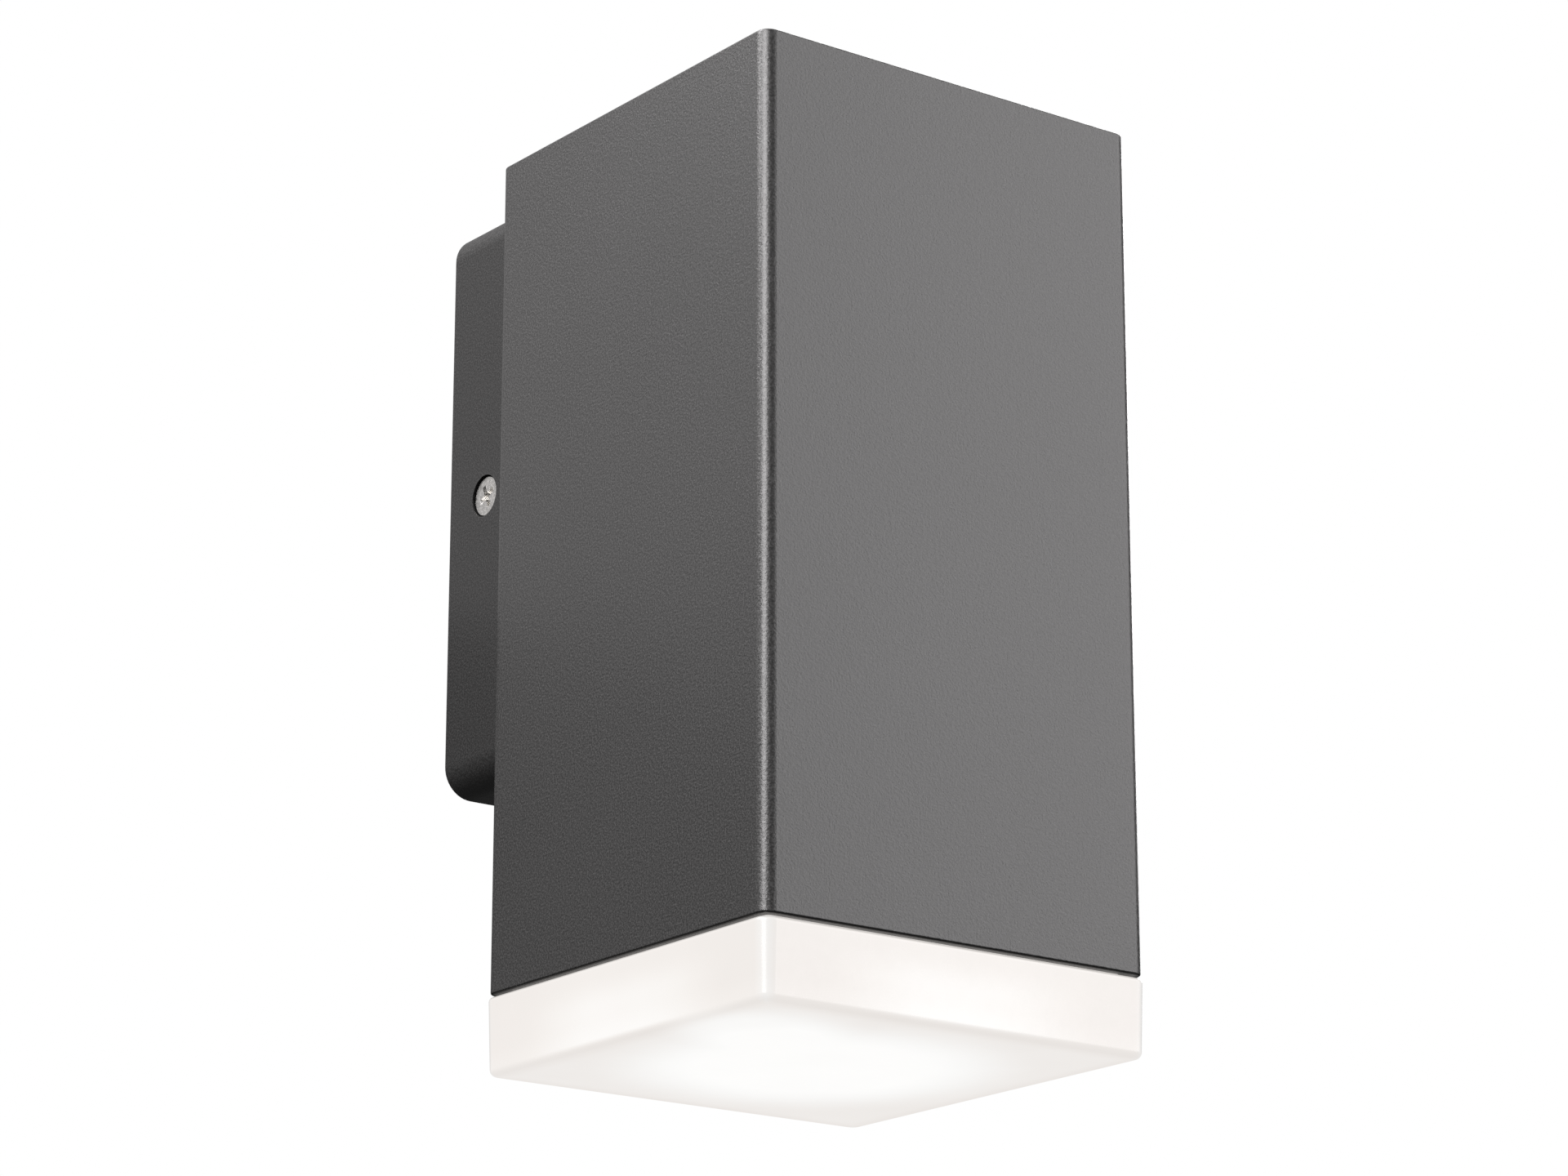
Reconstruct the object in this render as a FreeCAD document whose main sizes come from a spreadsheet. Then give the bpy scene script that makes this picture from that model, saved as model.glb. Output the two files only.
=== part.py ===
import FreeCAD, Part
import math
import os
import re
import Sketcher

# Outdoor wall lantern: a square aluminium tube that hangs on a shallow canopy, with an opal
# diffuser pushed into its lower end and a twist-lock lamp inside.
#
# Frame: the wall is the plane y = 0 and the lantern stands out of it towards -Y. +Z is up and
# +X is to the right for someone who faces the lantern. The origin is on the wall, in the
# middle of the wall bracket. Lengths are millimetres and angles degrees.

doc = FreeCAD.newDocument("wall_lantern")
sheet = doc.addObject("Spreadsheet::Sheet", "dims")

SIZES = {
    # Body: the square tube. body_drop is how far its lower end is below the origin.
    "body_width": 80,
    "body_height": 152,
    "body_wall": 2,
    "body_corner": 2.4,
    "body_inner_corner": 1,
    "body_drop": 94,
    "rim_edge": 0.35,
    # Top cap: a plate with a skirt, set a little below the tube's upper end.
    "cap_gap": 0.15,
    "cap_inset": 0.8,
    "cap_plate": 3,
    "cap_skirt": 11,
    "cap_skirt_wall": 3,
    "cap_edge": 0.6,
    "cap_seal_section": 2.4,
    "cap_seal_depth": 1.2,
    # Canopy: a die-cast box, open to the wall.
    "canopy_width": 70,
    "canopy_height": 107,
    "canopy_depth": 22,
    "canopy_corner": 5.5,
    "canopy_wall": 2.5,
    "boss_radius": 6,
    # Gaskets of the canopy: foam against the wall, rubber against the body.
    "wall_gasket_width": 1.9,
    "wall_gasket_depth": 2,
    "groove_width": 60,
    "groove_height": 92,
    "groove_corner": 4,
    "groove_section": 2.4,
    "groove_depth": 1.1,
    # Wall bracket: a steel strap with two cross arms, each bent out into a threaded tab.
    "bracket_sheet": 1.5,
    "strap_width": 25,
    "strap_height": 92,
    "strap_corner": 3,
    "arm_height": 18,
    "tab_reach": 30,
    "tab_length": 17,
    "bend_radius": 1.2,
    "slot_spacing": 60,
    "slot_width": 4.5,
    "slot_length": 14,
    # Cable inlet: a rubber bush in the bracket's middle.
    "inlet_bore_radius": 4,
    "inlet_hole_radius": 5.6,
    "inlet_flange_radius": 8,
    "inlet_flange": 2,
    "inlet_edge": 0.7,
    # Side screws: countersunk M4, their heads sunk below the canopy's sides.
    "screw_radius": 2,
    "screw_clearance": 0.15,
    "tapped_clearance": 0.02,
    "tip_chamfer": 0.6,
    "side_mouth_radius": 3.85,
    "side_mouth_depth": 0.5,
    "side_head_radius": 3.55,
    "side_head_edge": 0.3,
    "side_screw_length": 8,
    "side_screw_turn": 24,
    "recess_reach": 2.15,
    "recess_width": 0.95,
    "recess_depth": 1.7,
    # Screws that join canopy, body and lampholder bracket, with their nuts.
    "joint_half_width": 20,
    "joint_upper": 30,
    "joint_lower": -8,
    "pan_head_radius": 4,
    "pan_head_height": 2.6,
    "pan_edge": 0.7,
    "joint_screw_length": 12,
    "nut_across_flats": 7,
    "nut_height": 3.2,
    # Wire grommet, through canopy, body and lampholder bracket.
    "wire_hole_radius": 6,
    "wire_height": 10,
    "wire_bore_radius": 3,
    "wire_flange_radius": 8,
    "wire_flange": 1.4,
    "wire_edge": 0.5,
    # Terminal block: three poles, side by side along X.
    "pole_pitch": 10,
    "block_length": 18,
    "block_height": 12,
    "block_base": 7,
    "block_middle": -31,
    "block_corner": 1,
    "chimney_radius": 3,
    "sleeve_radius": 2.2,
    "sleeve_bore": 1.5,
    "sleeve_length": 15,
    "clamp_spread": 4.5,
    "clamp_radius": 1.25,
    "clamp_head_radius": 1.9,
    "clamp_head_height": 1.6,
    "clamp_length": 4.6,
    "clamp_stand": 2.2,
    "clamp_slot_width": 0.6,
    "clamp_slot_depth": 0.8,
    "block_screw_radius": 1.5,
    "block_head_radius": 2.4,
    "block_head_height": 1.8,
    "block_screw_length": 10.8,
    # Earth connection on the canopy.
    "earth_across": 12.5,
    "earth_up": 0,
    "earth_head_radius": 3.6,
    "lug_radius": 3.6,
    "lug_sheet": 0.8,
    "lug_neck_width": 2.4,
    "lug_neck_length": 3,
    "lug_neck_down": 4.2,
    "barrel_radius": 1.5,
    "barrel_length": 5.5,
    "barrel_down": 10.6,
    # Internal leads.
    "lead_radius": 1,
    "lead_offset": 1.3,
    # Lampholder bracket: an L of steel sheet on the body's rear wall.
    "holder_sheet": 1.5,
    "holder_width": 54,
    "holder_top": 37,
    "shelf_reach": 62,
    "shelf_hole_radius": 7,
    "shelf_corner": 3,
    # Lampholder: a ceramic disc, with its face this far below the origin.
    "holder_face_drop": 36,
    "holder_radius": 15,
    "holder_height": 16,
    "pin_circle": 5,
    "keyhole_face": 2.5,
    "keyhole_entry_radius": 2.85,
    "keyhole_slot_radius": 1.8,
    "holder_lead_radius": 1.25,
    "chamber_radius": 2.9,
    "chamber_top": 8,
    "twist_angle": 40,
    "holder_screw_spread": 9.5,
    "small_screw_radius": 1.5,
    "small_head_radius": 2.8,
    "small_head_height": 2,
    "small_nut_flats": 5.5,
    "small_nut_height": 2.4,
    "small_recess": 0.6,
    "contact_gap": 0.6,
    "contact_sheet": 0.5,
    "contact_length": 4,
    "contact_width": 3.6,
    "contact_post_radius": 1,
    "contact_post_reach": 2.4,
    # Lamp: measured down from its upper face, which sits just below the lampholder.
    "lamp_gap": 0.3,
    "lamp_radius": 25,
    "lamp_length": 48,
    "lamp_neck_radius": 12.3,
    "lamp_neck_length": 10,
    "lamp_edge": 1,
    "lamp_top": 3,
    "lamp_shoulder_radius": 15.5,
    "lamp_shoulder": 15,
    "lamp_wall": 1.4,
    "lamp_rim_height": 8,
    "lamp_rim_edge": 0.8,
    "shell_step": 0.6,
    "pin_radius": 1.5,
    "pin_head_radius": 2.5,
    "pin_stem": 3.1,
    "pin_head": 3,
    "lens_radius": 23.2,
    "lens_thickness": 2,
    "lens_gap": 0.1,
    "lens_seat": 1.4,
    "lens_dish": 0.6,
    "lens_edge": 0.4,
    "board_radius": 19.2,
    "board_thickness": 1.6,
    "board_depth": 30,
    "board_hole_radius": 2,
    "chip_side": 3,
    "chip_height": 0.7,
    "chip_circle": 9,
    "driver_width": 15,
    "driver_sheet": 1.2,
    "driver_length": 20,
    "driver_depth": 24,
    "capacitor_radius": 3,
    "capacitor_length": 9,
    "coil_side": 6,
    "coil_depth": 5,
    # Diffuser: an opal cup with a neck inside the body.
    "diffuser_gap": 0.5,
    "diffuser_width": 80.5,
    "diffuser_height": 13.7,
    "diffuser_corner": 2.5,
    "diffuser_draft": 1.9,
    "diffuser_edge": 1.2,
    "diffuser_shoulder_edge": 0.8,
    "diffuser_floor": 3,
    "neck_width": 74.4,
    "neck_wall": 2.6,
    "neck_height": 14,
    "neck_corner": 2,
    "seal_fit": 0.15,
    "seal_depth": 1,
    "seal_section": 3,
    "seal_up": 7,
}

for row, (name, value) in enumerate(SIZES.items(), start=1):
    sheet.set(f"A{row}", name)
    sheet.set(f"B{row}", str(value))
    sheet.setAlias(f"B{row}", name)
doc.recompute()

# Formulas for places that many pieces share.
AXIS_Y = "0 - canopy_depth - body_width / 2"
BODY_INSIDE_Y = "0 - canopy_depth - body_wall"
BODY_BOTTOM_Z = "0 - body_drop"
HOLDER_FACE_Z = "0 - holder_face_drop"
LAMP_TOP_Z = "0 - holder_face_drop - lamp_gap"
SHELF_Z = "0 - holder_face_drop + holder_height"
CANOPY_INSIDE_Y = "canopy_wall - canopy_depth"
CAP_WIDTH = "(body_width - 2 * body_wall - 2 * cap_gap)"

# The two sides of a symmetric piece, and what goes before a distance to put it on that side.
SIDES = [("right", ""), ("left", "0 - ")]

X_AXIS = FreeCAD.Vector(1, 0, 0)
Y_AXIS = FreeCAD.Vector(0, 1, 0)
Z_AXIS = FreeCAD.Vector(0, 0, 1)

# An object that works out a formula as a number, for the first guess of a sketch.
probe = doc.addObject("App::FeaturePython", "probe")
probe.addProperty("App::PropertyFloat", "result")


def formula(text):
    """The text with every size's name turned into a reference to its cell."""
    return re.sub(r"\b[a-z][a-z0-9_]*\b(?!\()", r"dims.\g<0>", str(text))


def number(text):
    probe.setExpression("result", formula(text))
    probe.recompute()
    return probe.result


def bind(thing, **formulas):
    """Tie properties to formulas. A double underscore in a name stands for a dot."""
    for name, text in formulas.items():
        thing.setExpression(name.replace("__", "."), formula(text))


def place(thing, x="0", y="0", z="0", rotation=None):
    """Put a finished thing somewhere, turned by rotation, at x, y, z."""
    if rotation is not None:
        thing.Placement = FreeCAD.Placement(FreeCAD.Vector(), rotation)
    bind(thing, Placement__Base__x=x, Placement__Base__y=y, Placement__Base__z=z)
    return thing


# ---- Sketches --------------------------------------------------------------------------------

def new_body(name):
    body = doc.addObject("PartDesign::Body", name)
    body.Label = name
    return body


def new_sketch(body, name, plane, x="0", y="0", up="0"):
    """A sketch on one of the body's origin planes, moved by x, y in it and up along its normal."""
    sketch = body.newObject("Sketcher::SketchObject", name)
    support = next(item for item in body.Origin.OriginFeatures if item.Role == plane)
    sketch.AttachmentSupport = [(support, "")]
    sketch.MapMode = "FlatFace"
    bind(
        sketch,
        AttachmentOffset__Base__x=x,
        AttachmentOffset__Base__y=y,
        AttachmentOffset__Base__z=up,
    )
    return sketch


def dimension(sketch, kind, places, text):
    index = sketch.addConstraint(Sketcher.Constraint(kind, *places, number(text)))
    sketch.setExpression(f"Constraints[{index}]", formula(text))


def pin_point(sketch, edge, end, x, y):
    """Hold one end of an edge at x, y from the sketch's origin."""
    dimension(sketch, "DistanceX", (-1, 1, edge, end), x)
    dimension(sketch, "DistanceY", (-1, 1, edge, end), y)


def draw_circle(sketch, radius, x="0", y="0"):
    centre = FreeCAD.Vector(number(x), number(y), 0)
    edge = sketch.addGeometry(Part.Circle(centre, Z_AXIS, number(radius)))
    dimension(sketch, "Radius", (edge,), radius)
    pin_point(sketch, edge, 3, x, y)


def draw_outline(sketch, corners):
    """A closed outline of straight edges through the corners, each given as two formulas."""
    points = [FreeCAD.Vector(number(x), number(y), 0) for x, y in corners]
    count = len(points)
    edges = []
    for index, point in enumerate(points):
        following = points[(index + 1) % count]
        edges.append(sketch.addGeometry(Part.LineSegment(point, following)))
    for index, edge in enumerate(edges):
        following = edges[(index + 1) % count]
        sketch.addConstraint(Sketcher.Constraint("Coincident", edge, 2, following, 1))
    for edge, (x, y) in zip(edges, corners):
        pin_point(sketch, edge, 1, x, y)


def draw_rectangle(sketch, width, height):
    right, top = f"({width}) / 2", f"({height}) / 2"
    left, bottom = f"0 - ({width}) / 2", f"0 - ({height}) / 2"
    draw_outline(sketch, [(left, bottom), (right, bottom), (right, top), (left, top)])


def draw_rounded(sketch, width, height, radius):
    """A rectangle with round corners, centred on the sketch's origin."""
    corner = number(radius)
    right = number(width) / 2
    top = number(height) / 2
    centres = [
        (right - corner, top - corner, 0),
        (corner - right, top - corner, 90),
        (corner - right, corner - top, 180),
        (right - corner, corner - top, 270),
    ]
    arcs = []
    for x, y, start in centres:
        circle = Part.Circle(FreeCAD.Vector(x, y, 0), Z_AXIS, corner)
        sweep = Part.ArcOfCircle(circle, math.radians(start), math.radians(start + 90))
        arcs.append(sketch.addGeometry(sweep))
    lines = []
    for index, arc in enumerate(arcs):
        following = arcs[(index + 1) % 4]
        start = sketch.Geometry[arc].EndPoint
        end = sketch.Geometry[following].StartPoint
        lines.append(sketch.addGeometry(Part.LineSegment(start, end)))
    for index, line in enumerate(lines):
        following = arcs[(index + 1) % 4]
        sketch.addConstraint(Sketcher.Constraint("Tangent", arcs[index], 2, line, 1))
        sketch.addConstraint(Sketcher.Constraint("Tangent", line, 2, following, 1))
        direction = "Horizontal" if index % 2 == 0 else "Vertical"
        sketch.addConstraint(Sketcher.Constraint(direction, line))
    for arc in arcs[1:]:
        sketch.addConstraint(Sketcher.Constraint("Equal", arcs[0], arc))
    sketch.addConstraint(Sketcher.Constraint("Symmetric", arcs[0], 3, arcs[2], 3, -1, 1))
    dimension(sketch, "Radius", (arcs[0],), radius)
    dimension(sketch, "DistanceX", (arcs[1], 3, arcs[0], 3), f"({width}) - 2 * ({radius})")
    dimension(sketch, "DistanceY", (arcs[3], 3, arcs[0], 3), f"({height}) - 2 * ({radius})")


# ---- Features of a body ----------------------------------------------------------------------

def pad(body, sketch, length, backwards=False, taper=None):
    feature = body.newObject("PartDesign::Pad", sketch.Name + "_pad")
    feature.Profile = sketch
    feature.Reversed = backwards
    bind(feature, Length=length)
    if taper is not None:
        bind(feature, TaperAngle=taper)
    doc.recompute()
    return feature


def pocket(body, sketch, depth, along_normal=False):
    """Cut a sketch into the body, against the sketch's normal unless along_normal is set."""
    before = body.Shape.Volume
    feature = body.newObject("PartDesign::Pocket", sketch.Name + "_pocket")
    feature.Profile = sketch
    feature.Reversed = along_normal
    bind(feature, Length=depth)
    doc.recompute()
    if body.Shape.Volume > before - 1e-6:
        raise RuntimeError(f"{feature.Name} cuts nothing")
    return feature


def revolve(body, sketch, axis="V_Axis"):
    feature = body.newObject("PartDesign::Revolution", sketch.Name + "_turned")
    feature.Profile = sketch
    feature.ReferenceAxis = (sketch, [axis])
    feature.Angle = 360
    doc.recompute()
    return feature


def groove(body, sketch, axis):
    before = body.Shape.Volume
    feature = body.newObject("PartDesign::Groove", sketch.Name + "_groove")
    feature.Profile = sketch
    feature.ReferenceAxis = (sketch, [axis])
    feature.Angle = 360
    doc.recompute()
    if body.Shape.Volume > before - 1e-6:
        raise RuntimeError(f"{feature.Name} cuts nothing")
    return feature


def mirror(body, features, plane):
    feature = body.newObject("PartDesign::Mirrored", features[0].Name + "_mirrored")
    feature.Originals = features
    support = next(item for item in body.Origin.OriginFeatures if item.Role == plane)
    feature.MirrorPlane = (support, [""])
    body.Tip = feature
    doc.recompute()
    return feature


def round_edges(body, name, radius, wanted):
    """Fillet the edges of the body's present shape for which wanted(edge) is true."""
    tip = body.Tip
    names = [f"Edge{index}" for index, edge in enumerate(tip.Shape.Edges, 1) if wanted(edge)]
    if not names:
        raise RuntimeError(f"{name} finds no edge")
    feature = body.newObject("PartDesign::Fillet", name)
    feature.Base = (tip, names)
    bind(feature, Radius=radius)
    doc.recompute()
    return feature


def flat_at(axis, level):
    """A test for edges that lie wholly in the plane where a coordinate has one value."""
    def wanted(edge):
        box = edge.BoundBox
        low = getattr(box, axis + "Min")
        high = getattr(box, axis + "Max")
        return abs(low - level) < 0.01 and abs(high - level) < 0.01
    return wanted


# ---- Primitives and booleans -----------------------------------------------------------------

def box(name, length, width, height, x="0", y="0", z="0"):
    thing = doc.addObject("Part::Box", name)
    bind(thing, Length=length, Width=width, Height=height)
    return place(thing, x, y, z)


def cylinder(name, radius, height, x="0", y="0", z="0", rotation=None, angle="360"):
    thing = doc.addObject("Part::Cylinder", name)
    bind(thing, Radius=radius, Height=height, Angle=angle)
    return place(thing, x, y, z, rotation)


def fuse(name, parts):
    thing = doc.addObject("Part::MultiFuse", name)
    thing.Shapes = parts
    return thing


def cut(name, base, tool):
    thing = doc.addObject("Part::Cut", name)
    thing.Base = base
    thing.Tool = tool
    return thing


def group(name, pieces):
    """Several separate solids of one kind that share a node."""
    thing = doc.addObject("Part::Compound", name)
    thing.Label = name
    thing.Links = pieces
    return thing


def copy_of(master, name, x="0", y="0", z="0", rotation=None):
    """The same piece again, in another place."""
    link = doc.addObject("App::Link", name)
    link.LinkedObject = master
    return place(link, x, y, z, rotation)


# ---- Body and top cap ------------------------------------------------------------------------

def joint_places():
    """The four screw places on the rear wall: name, x and z."""
    return [
        ("upper_left", "0 - joint_half_width", "joint_upper"),
        ("upper_right", "joint_half_width", "joint_upper"),
        ("lower_left", "0 - joint_half_width", "joint_lower"),
        ("lower_right", "joint_half_width", "joint_lower"),
    ]


def draw_joint_holes(sketch, z_shift="0"):
    """The wire hole and the four screw holes that canopy, body and bracket share."""
    draw_circle(sketch, "wire_hole_radius", "0", f"wire_height + {z_shift}")
    for _, x, z in joint_places():
        draw_circle(sketch, "screw_radius + screw_clearance", x, f"{z} + {z_shift}")


def make_housing_tube():
    body = new_body("housing_tube")
    place(body, y=AXIS_Y, z=BODY_BOTTOM_Z)
    section = new_sketch(body, "tube_section", "XY_Plane")
    draw_rounded(section, "body_width", "body_width", "body_corner")
    inside = "body_width - 2 * body_wall"
    draw_rounded(section, inside, inside, "body_inner_corner")
    pad(body, section, "body_height")
    holes = new_sketch(body, "tube_holes", "XZ_Plane", up="0 - body_width / 2")
    draw_joint_holes(holes, "body_drop")
    pocket(body, holes, "body_wall + 1", along_normal=True)
    top = number("body_height")
    half = number("body_width / 2")
    on_top = flat_at("Z", top)
    on_bottom = flat_at("Z", 0)

    def outer_rim(edge):
        if not (on_top(edge) or on_bottom(edge)):
            return False
        middle = edge.valueAt((edge.FirstParameter + edge.LastParameter) / 2)
        return max(abs(middle.x), abs(middle.y)) > half - 1

    round_edges(body, "tube_rims", "rim_edge", outer_rim)
    return body


def make_top_cap():
    body = new_body("top_cap")
    place(body, y=AXIS_Y, z=BODY_BOTTOM_Z + " + body_height - cap_inset")
    plate = new_sketch(body, "cap_outline", "XY_Plane")
    draw_rounded(plate, CAP_WIDTH, CAP_WIDTH, "body_inner_corner")
    pad(body, plate, "cap_skirt", backwards=True)
    hollow = new_sketch(body, "cap_hollow", "XY_Plane", up="0 - cap_skirt")
    inside = CAP_WIDTH + " - 2 * cap_skirt_wall"
    draw_rounded(hollow, inside, inside, "body_inner_corner")
    pocket(body, hollow, "cap_skirt - cap_plate", along_normal=True)
    channel = new_sketch(body, "cap_channel", "XY_Plane", up="cap_seal_section / 2 - cap_skirt / 2")
    draw_rounded(channel, "body_width", "body_width", "body_inner_corner")
    floor = CAP_WIDTH + " - 2 * cap_seal_depth"
    draw_rounded(channel, floor, floor, "body_inner_corner")
    pocket(body, channel, "cap_seal_section")
    round_edges(body, "cap_rim", "cap_edge", flat_at("Z", 0))
    return body


def make_top_cap_seal():
    body = new_body("top_cap_seal")
    level = " + body_height - cap_inset - cap_skirt / 2 - cap_seal_section / 2"
    place(body, y=AXIS_Y, z=BODY_BOTTOM_Z + level)
    ring = new_sketch(body, "cap_seal_ring", "XY_Plane")
    outside = "body_width - 2 * body_wall"
    draw_rounded(ring, outside, outside, "body_inner_corner")
    floor = CAP_WIDTH + " - 2 * cap_seal_depth"
    draw_rounded(ring, floor, floor, "body_inner_corner")
    pad(body, ring, "cap_seal_section")
    return body


# ---- Canopy and its gaskets ------------------------------------------------------------------

def make_wall_canopy():
    body = new_body("wall_canopy")
    outline = new_sketch(body, "canopy_outline", "XZ_Plane")
    draw_rounded(outline, "canopy_width", "canopy_height", "canopy_corner")
    pad(body, outline, "canopy_depth")
    hollow = new_sketch(body, "canopy_hollow", "XZ_Plane")
    draw_rounded(
        hollow,
        "canopy_width - 2 * canopy_wall",
        "canopy_height - 2 * canopy_wall",
        "canopy_corner - canopy_wall",
    )
    pocket(body, hollow, "canopy_depth - canopy_wall", along_normal=True)

    # Bosses inside the side walls, which the bracket's tabs come up against.
    side = new_sketch(body, "canopy_boss", "YZ_Plane", x="0 - canopy_depth / 2", up="tab_reach + 0.1")
    draw_circle(side, "boss_radius")
    boss = pad(body, side, "canopy_width / 2 - canopy_wall / 2 - tab_reach - 0.1")
    mirror(body, [boss], "YZ_Plane")
    seat = new_sketch(body, "screw_seat", "XY_Plane", y="0 - canopy_depth / 2")
    deep = "canopy_width / 2 - side_mouth_depth - side_head_edge"
    hole = "screw_radius + screw_clearance"
    cone_mouth = "(side_head_radius + 0.1)"
    draw_outline(seat, [
        ("tab_reach - 1", "0"),
        ("canopy_width / 2 + 1", "0"),
        ("canopy_width / 2 + 1", "side_mouth_radius"),
        (deep, "side_mouth_radius"),
        (deep, cone_mouth),
        (f"{deep} - {cone_mouth} + {hole}", hole),
        ("tab_reach - 1", hole),
    ])
    mirror(body, [groove(body, seat, "H_Axis")], "YZ_Plane")

    face = new_sketch(body, "canopy_holes", "XZ_Plane", up="canopy_depth")
    draw_joint_holes(face)
    draw_circle(face, "screw_radius + tapped_clearance", "earth_across", "earth_up")
    for _, sign in SIDES:
        across = f"{sign}pole_pitch / 2"
        draw_circle(face, "block_screw_radius + tapped_clearance", across, "block_middle")
    pocket(body, face, "canopy_wall + 1")
    channel = new_sketch(body, "canopy_channel", "XZ_Plane", up="canopy_depth")
    draw_gasket_ring(channel)
    pocket(body, channel, "groove_depth")
    return body


def draw_gasket_ring(sketch):
    draw_rounded(sketch, "groove_width", "groove_height", "groove_corner")
    draw_rounded(
        sketch,
        "groove_width - 2 * groove_section",
        "groove_height - 2 * groove_section",
        "groove_corner - groove_section",
    )


def make_housing_gasket():
    body = new_body("housing_gasket")
    ring = new_sketch(body, "housing_gasket_ring", "XZ_Plane", up="canopy_depth")
    draw_gasket_ring(ring)
    pad(body, ring, "groove_depth", backwards=True)
    return body


def make_wall_gasket():
    body = new_body("wall_gasket")
    ring = new_sketch(body, "wall_gasket_ring", "XZ_Plane")
    width = "canopy_width - 2 * canopy_wall"
    height = "canopy_height - 2 * canopy_wall"
    draw_rounded(ring, width, height, "canopy_corner - canopy_wall")
    draw_rounded(
        ring,
        width + " - 2 * wall_gasket_width",
        height + " - 2 * wall_gasket_width",
        "canopy_corner - canopy_wall - wall_gasket_width",
    )
    pad(body, ring, "wall_gasket_depth")
    return body


# ---- Wall bracket and cable inlet ------------------------------------------------------------

def make_wall_bracket():
    body = new_body("wall_bracket")
    strap = new_sketch(body, "bracket_strap", "XZ_Plane")
    draw_rounded(strap, "strap_width", "strap_height", "strap_corner")
    pad(body, strap, "bracket_sheet")
    arms = new_sketch(body, "bracket_arms", "XZ_Plane")
    draw_rectangle(arms, "2 * tab_reach", "arm_height")
    pad(body, arms, "bracket_sheet")
    tab = new_sketch(body, "bracket_tab", "XZ_Plane", x="tab_reach - bracket_sheet / 2")
    draw_rectangle(tab, "bracket_sheet", "arm_height")
    mirror(body, [pad(body, tab, "tab_length")], "YZ_Plane")
    inner = number("tab_reach - bracket_sheet")
    sheet_face = -number("bracket_sheet")

    def inner_bend(edge):
        box_of = edge.BoundBox
        upright = box_of.ZLength > number("arm_height") - 0.1
        in_corner = abs(box_of.YMin - sheet_face) < 0.01 and box_of.YLength < 0.01
        return upright and in_corner and abs(abs(box_of.XMin) - inner) < 0.01

    def outer_bend(edge):
        box_of = edge.BoundBox
        upright = box_of.ZLength > number("arm_height") - 0.1
        at_side = abs(abs(box_of.XMin) - number("tab_reach")) < 0.01
        return upright and at_side and abs(box_of.YMin) < 0.01

    round_edges(body, "inner_bends", "bend_radius", inner_bend)
    round_edges(body, "outer_bends", "bend_radius + bracket_sheet", outer_bend)
    slots = new_sketch(body, "bracket_slot", "XZ_Plane", y="slot_spacing / 2")
    draw_rounded(slots, "slot_width", "slot_length", "slot_width / 2 - 0.001")
    mirror(body, [pocket(body, slots, "bracket_sheet + 1", along_normal=True)], "XY_Plane")
    middle = new_sketch(body, "bracket_inlet", "XZ_Plane")
    draw_circle(middle, "inlet_hole_radius")
    pocket(body, middle, "bracket_sheet + 1", along_normal=True)
    thread = new_sketch(body, "bracket_thread", "YZ_Plane", x="0 - canopy_depth / 2", up="tab_reach + 1")
    draw_circle(thread, "screw_radius + tapped_clearance")
    mirror(body, [pocket(body, thread, "bracket_sheet + 2")], "YZ_Plane")
    return body


def make_cable_inlet_grommet():
    body = new_body("cable_inlet_grommet")
    section = new_sketch(body, "inlet_section", "XY_Plane")
    front = "0 - bracket_sheet - inlet_flange"
    draw_outline(section, [
        ("inlet_bore_radius", "0"),
        ("inlet_hole_radius", "0"),
        ("inlet_hole_radius", "0 - bracket_sheet"),
        ("inlet_flange_radius", "0 - bracket_sheet"),
        ("inlet_flange_radius", front + " + inlet_edge"),
        ("inlet_flange_radius - inlet_edge", front),
        ("inlet_bore_radius", front),
    ])
    revolve(body, section)
    return body


# ---- Screws and nuts -------------------------------------------------------------------------

def draw_cross(sketch, reach, width):
    """The outline of a cross with four equal arms."""
    far, near = reach, f"({width}) / 2"
    quarter = [(far, near), (near, near), (near, far)]
    corners = []
    for x, y in quarter:
        corners.append((x, y))
    for x, y in reversed(quarter):
        corners.append((f"0 - ({x})", y))
    for x, y in quarter:
        corners.append((f"0 - ({x})", f"0 - ({y})"))
    for x, y in reversed(quarter):
        corners.append((x, f"0 - ({y})"))
    draw_outline(sketch, corners)


def cross_recess(body, scale="1"):
    """A tapering cross recess, cut into a head whose top is the plane z = 0."""
    mouth = new_sketch(body, body.Name + "_recess_mouth", "XY_Plane")
    draw_cross(mouth, f"recess_reach * {scale}", f"recess_width * {scale}")
    floor = new_sketch(body, body.Name + "_recess_floor", "XY_Plane", up=f"0 - recess_depth * {scale}")
    draw_cross(floor, f"recess_reach * {scale} * 0.45", f"recess_width * {scale} * 0.6")
    before = body.Shape.Volume
    feature = body.newObject("PartDesign::SubtractiveLoft", body.Name + "_recess")
    feature.Profile = mouth
    feature.Sections = [floor]
    feature.Ruled = True
    doc.recompute()
    if body.Shape.Volume > before - 1e-6:
        raise RuntimeError(f"{feature.Name} cuts nothing")


def make_screw(name, head, shank_radius, length):
    """A screw that points down from z = 0. head lists the outline's corners down to the shank."""
    body = new_body(name)
    section = new_sketch(body, name + "_section", "XZ_Plane")
    tip = f"0 - ({length})"
    draw_outline(section, [("0", "0")] + head + [
        (shank_radius, f"{tip} + tip_chamfer"),
        (f"{shank_radius} - tip_chamfer", tip),
        ("0", tip),
    ])
    revolve(body, section)
    return body


def countersunk_head():
    under = "0 - side_head_edge - side_head_radius + screw_radius"
    return [
        ("side_head_radius", "0"),
        ("side_head_radius", "0 - side_head_edge"),
        ("screw_radius", under),
    ]


def pan_head(head_radius, height, shank_radius):
    return [
        (f"{head_radius} - pan_edge", "0"),
        (head_radius, "0 - pan_edge"),
        (head_radius, f"0 - {height}"),
        (shank_radius, f"0 - {height}"),
    ]


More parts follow.
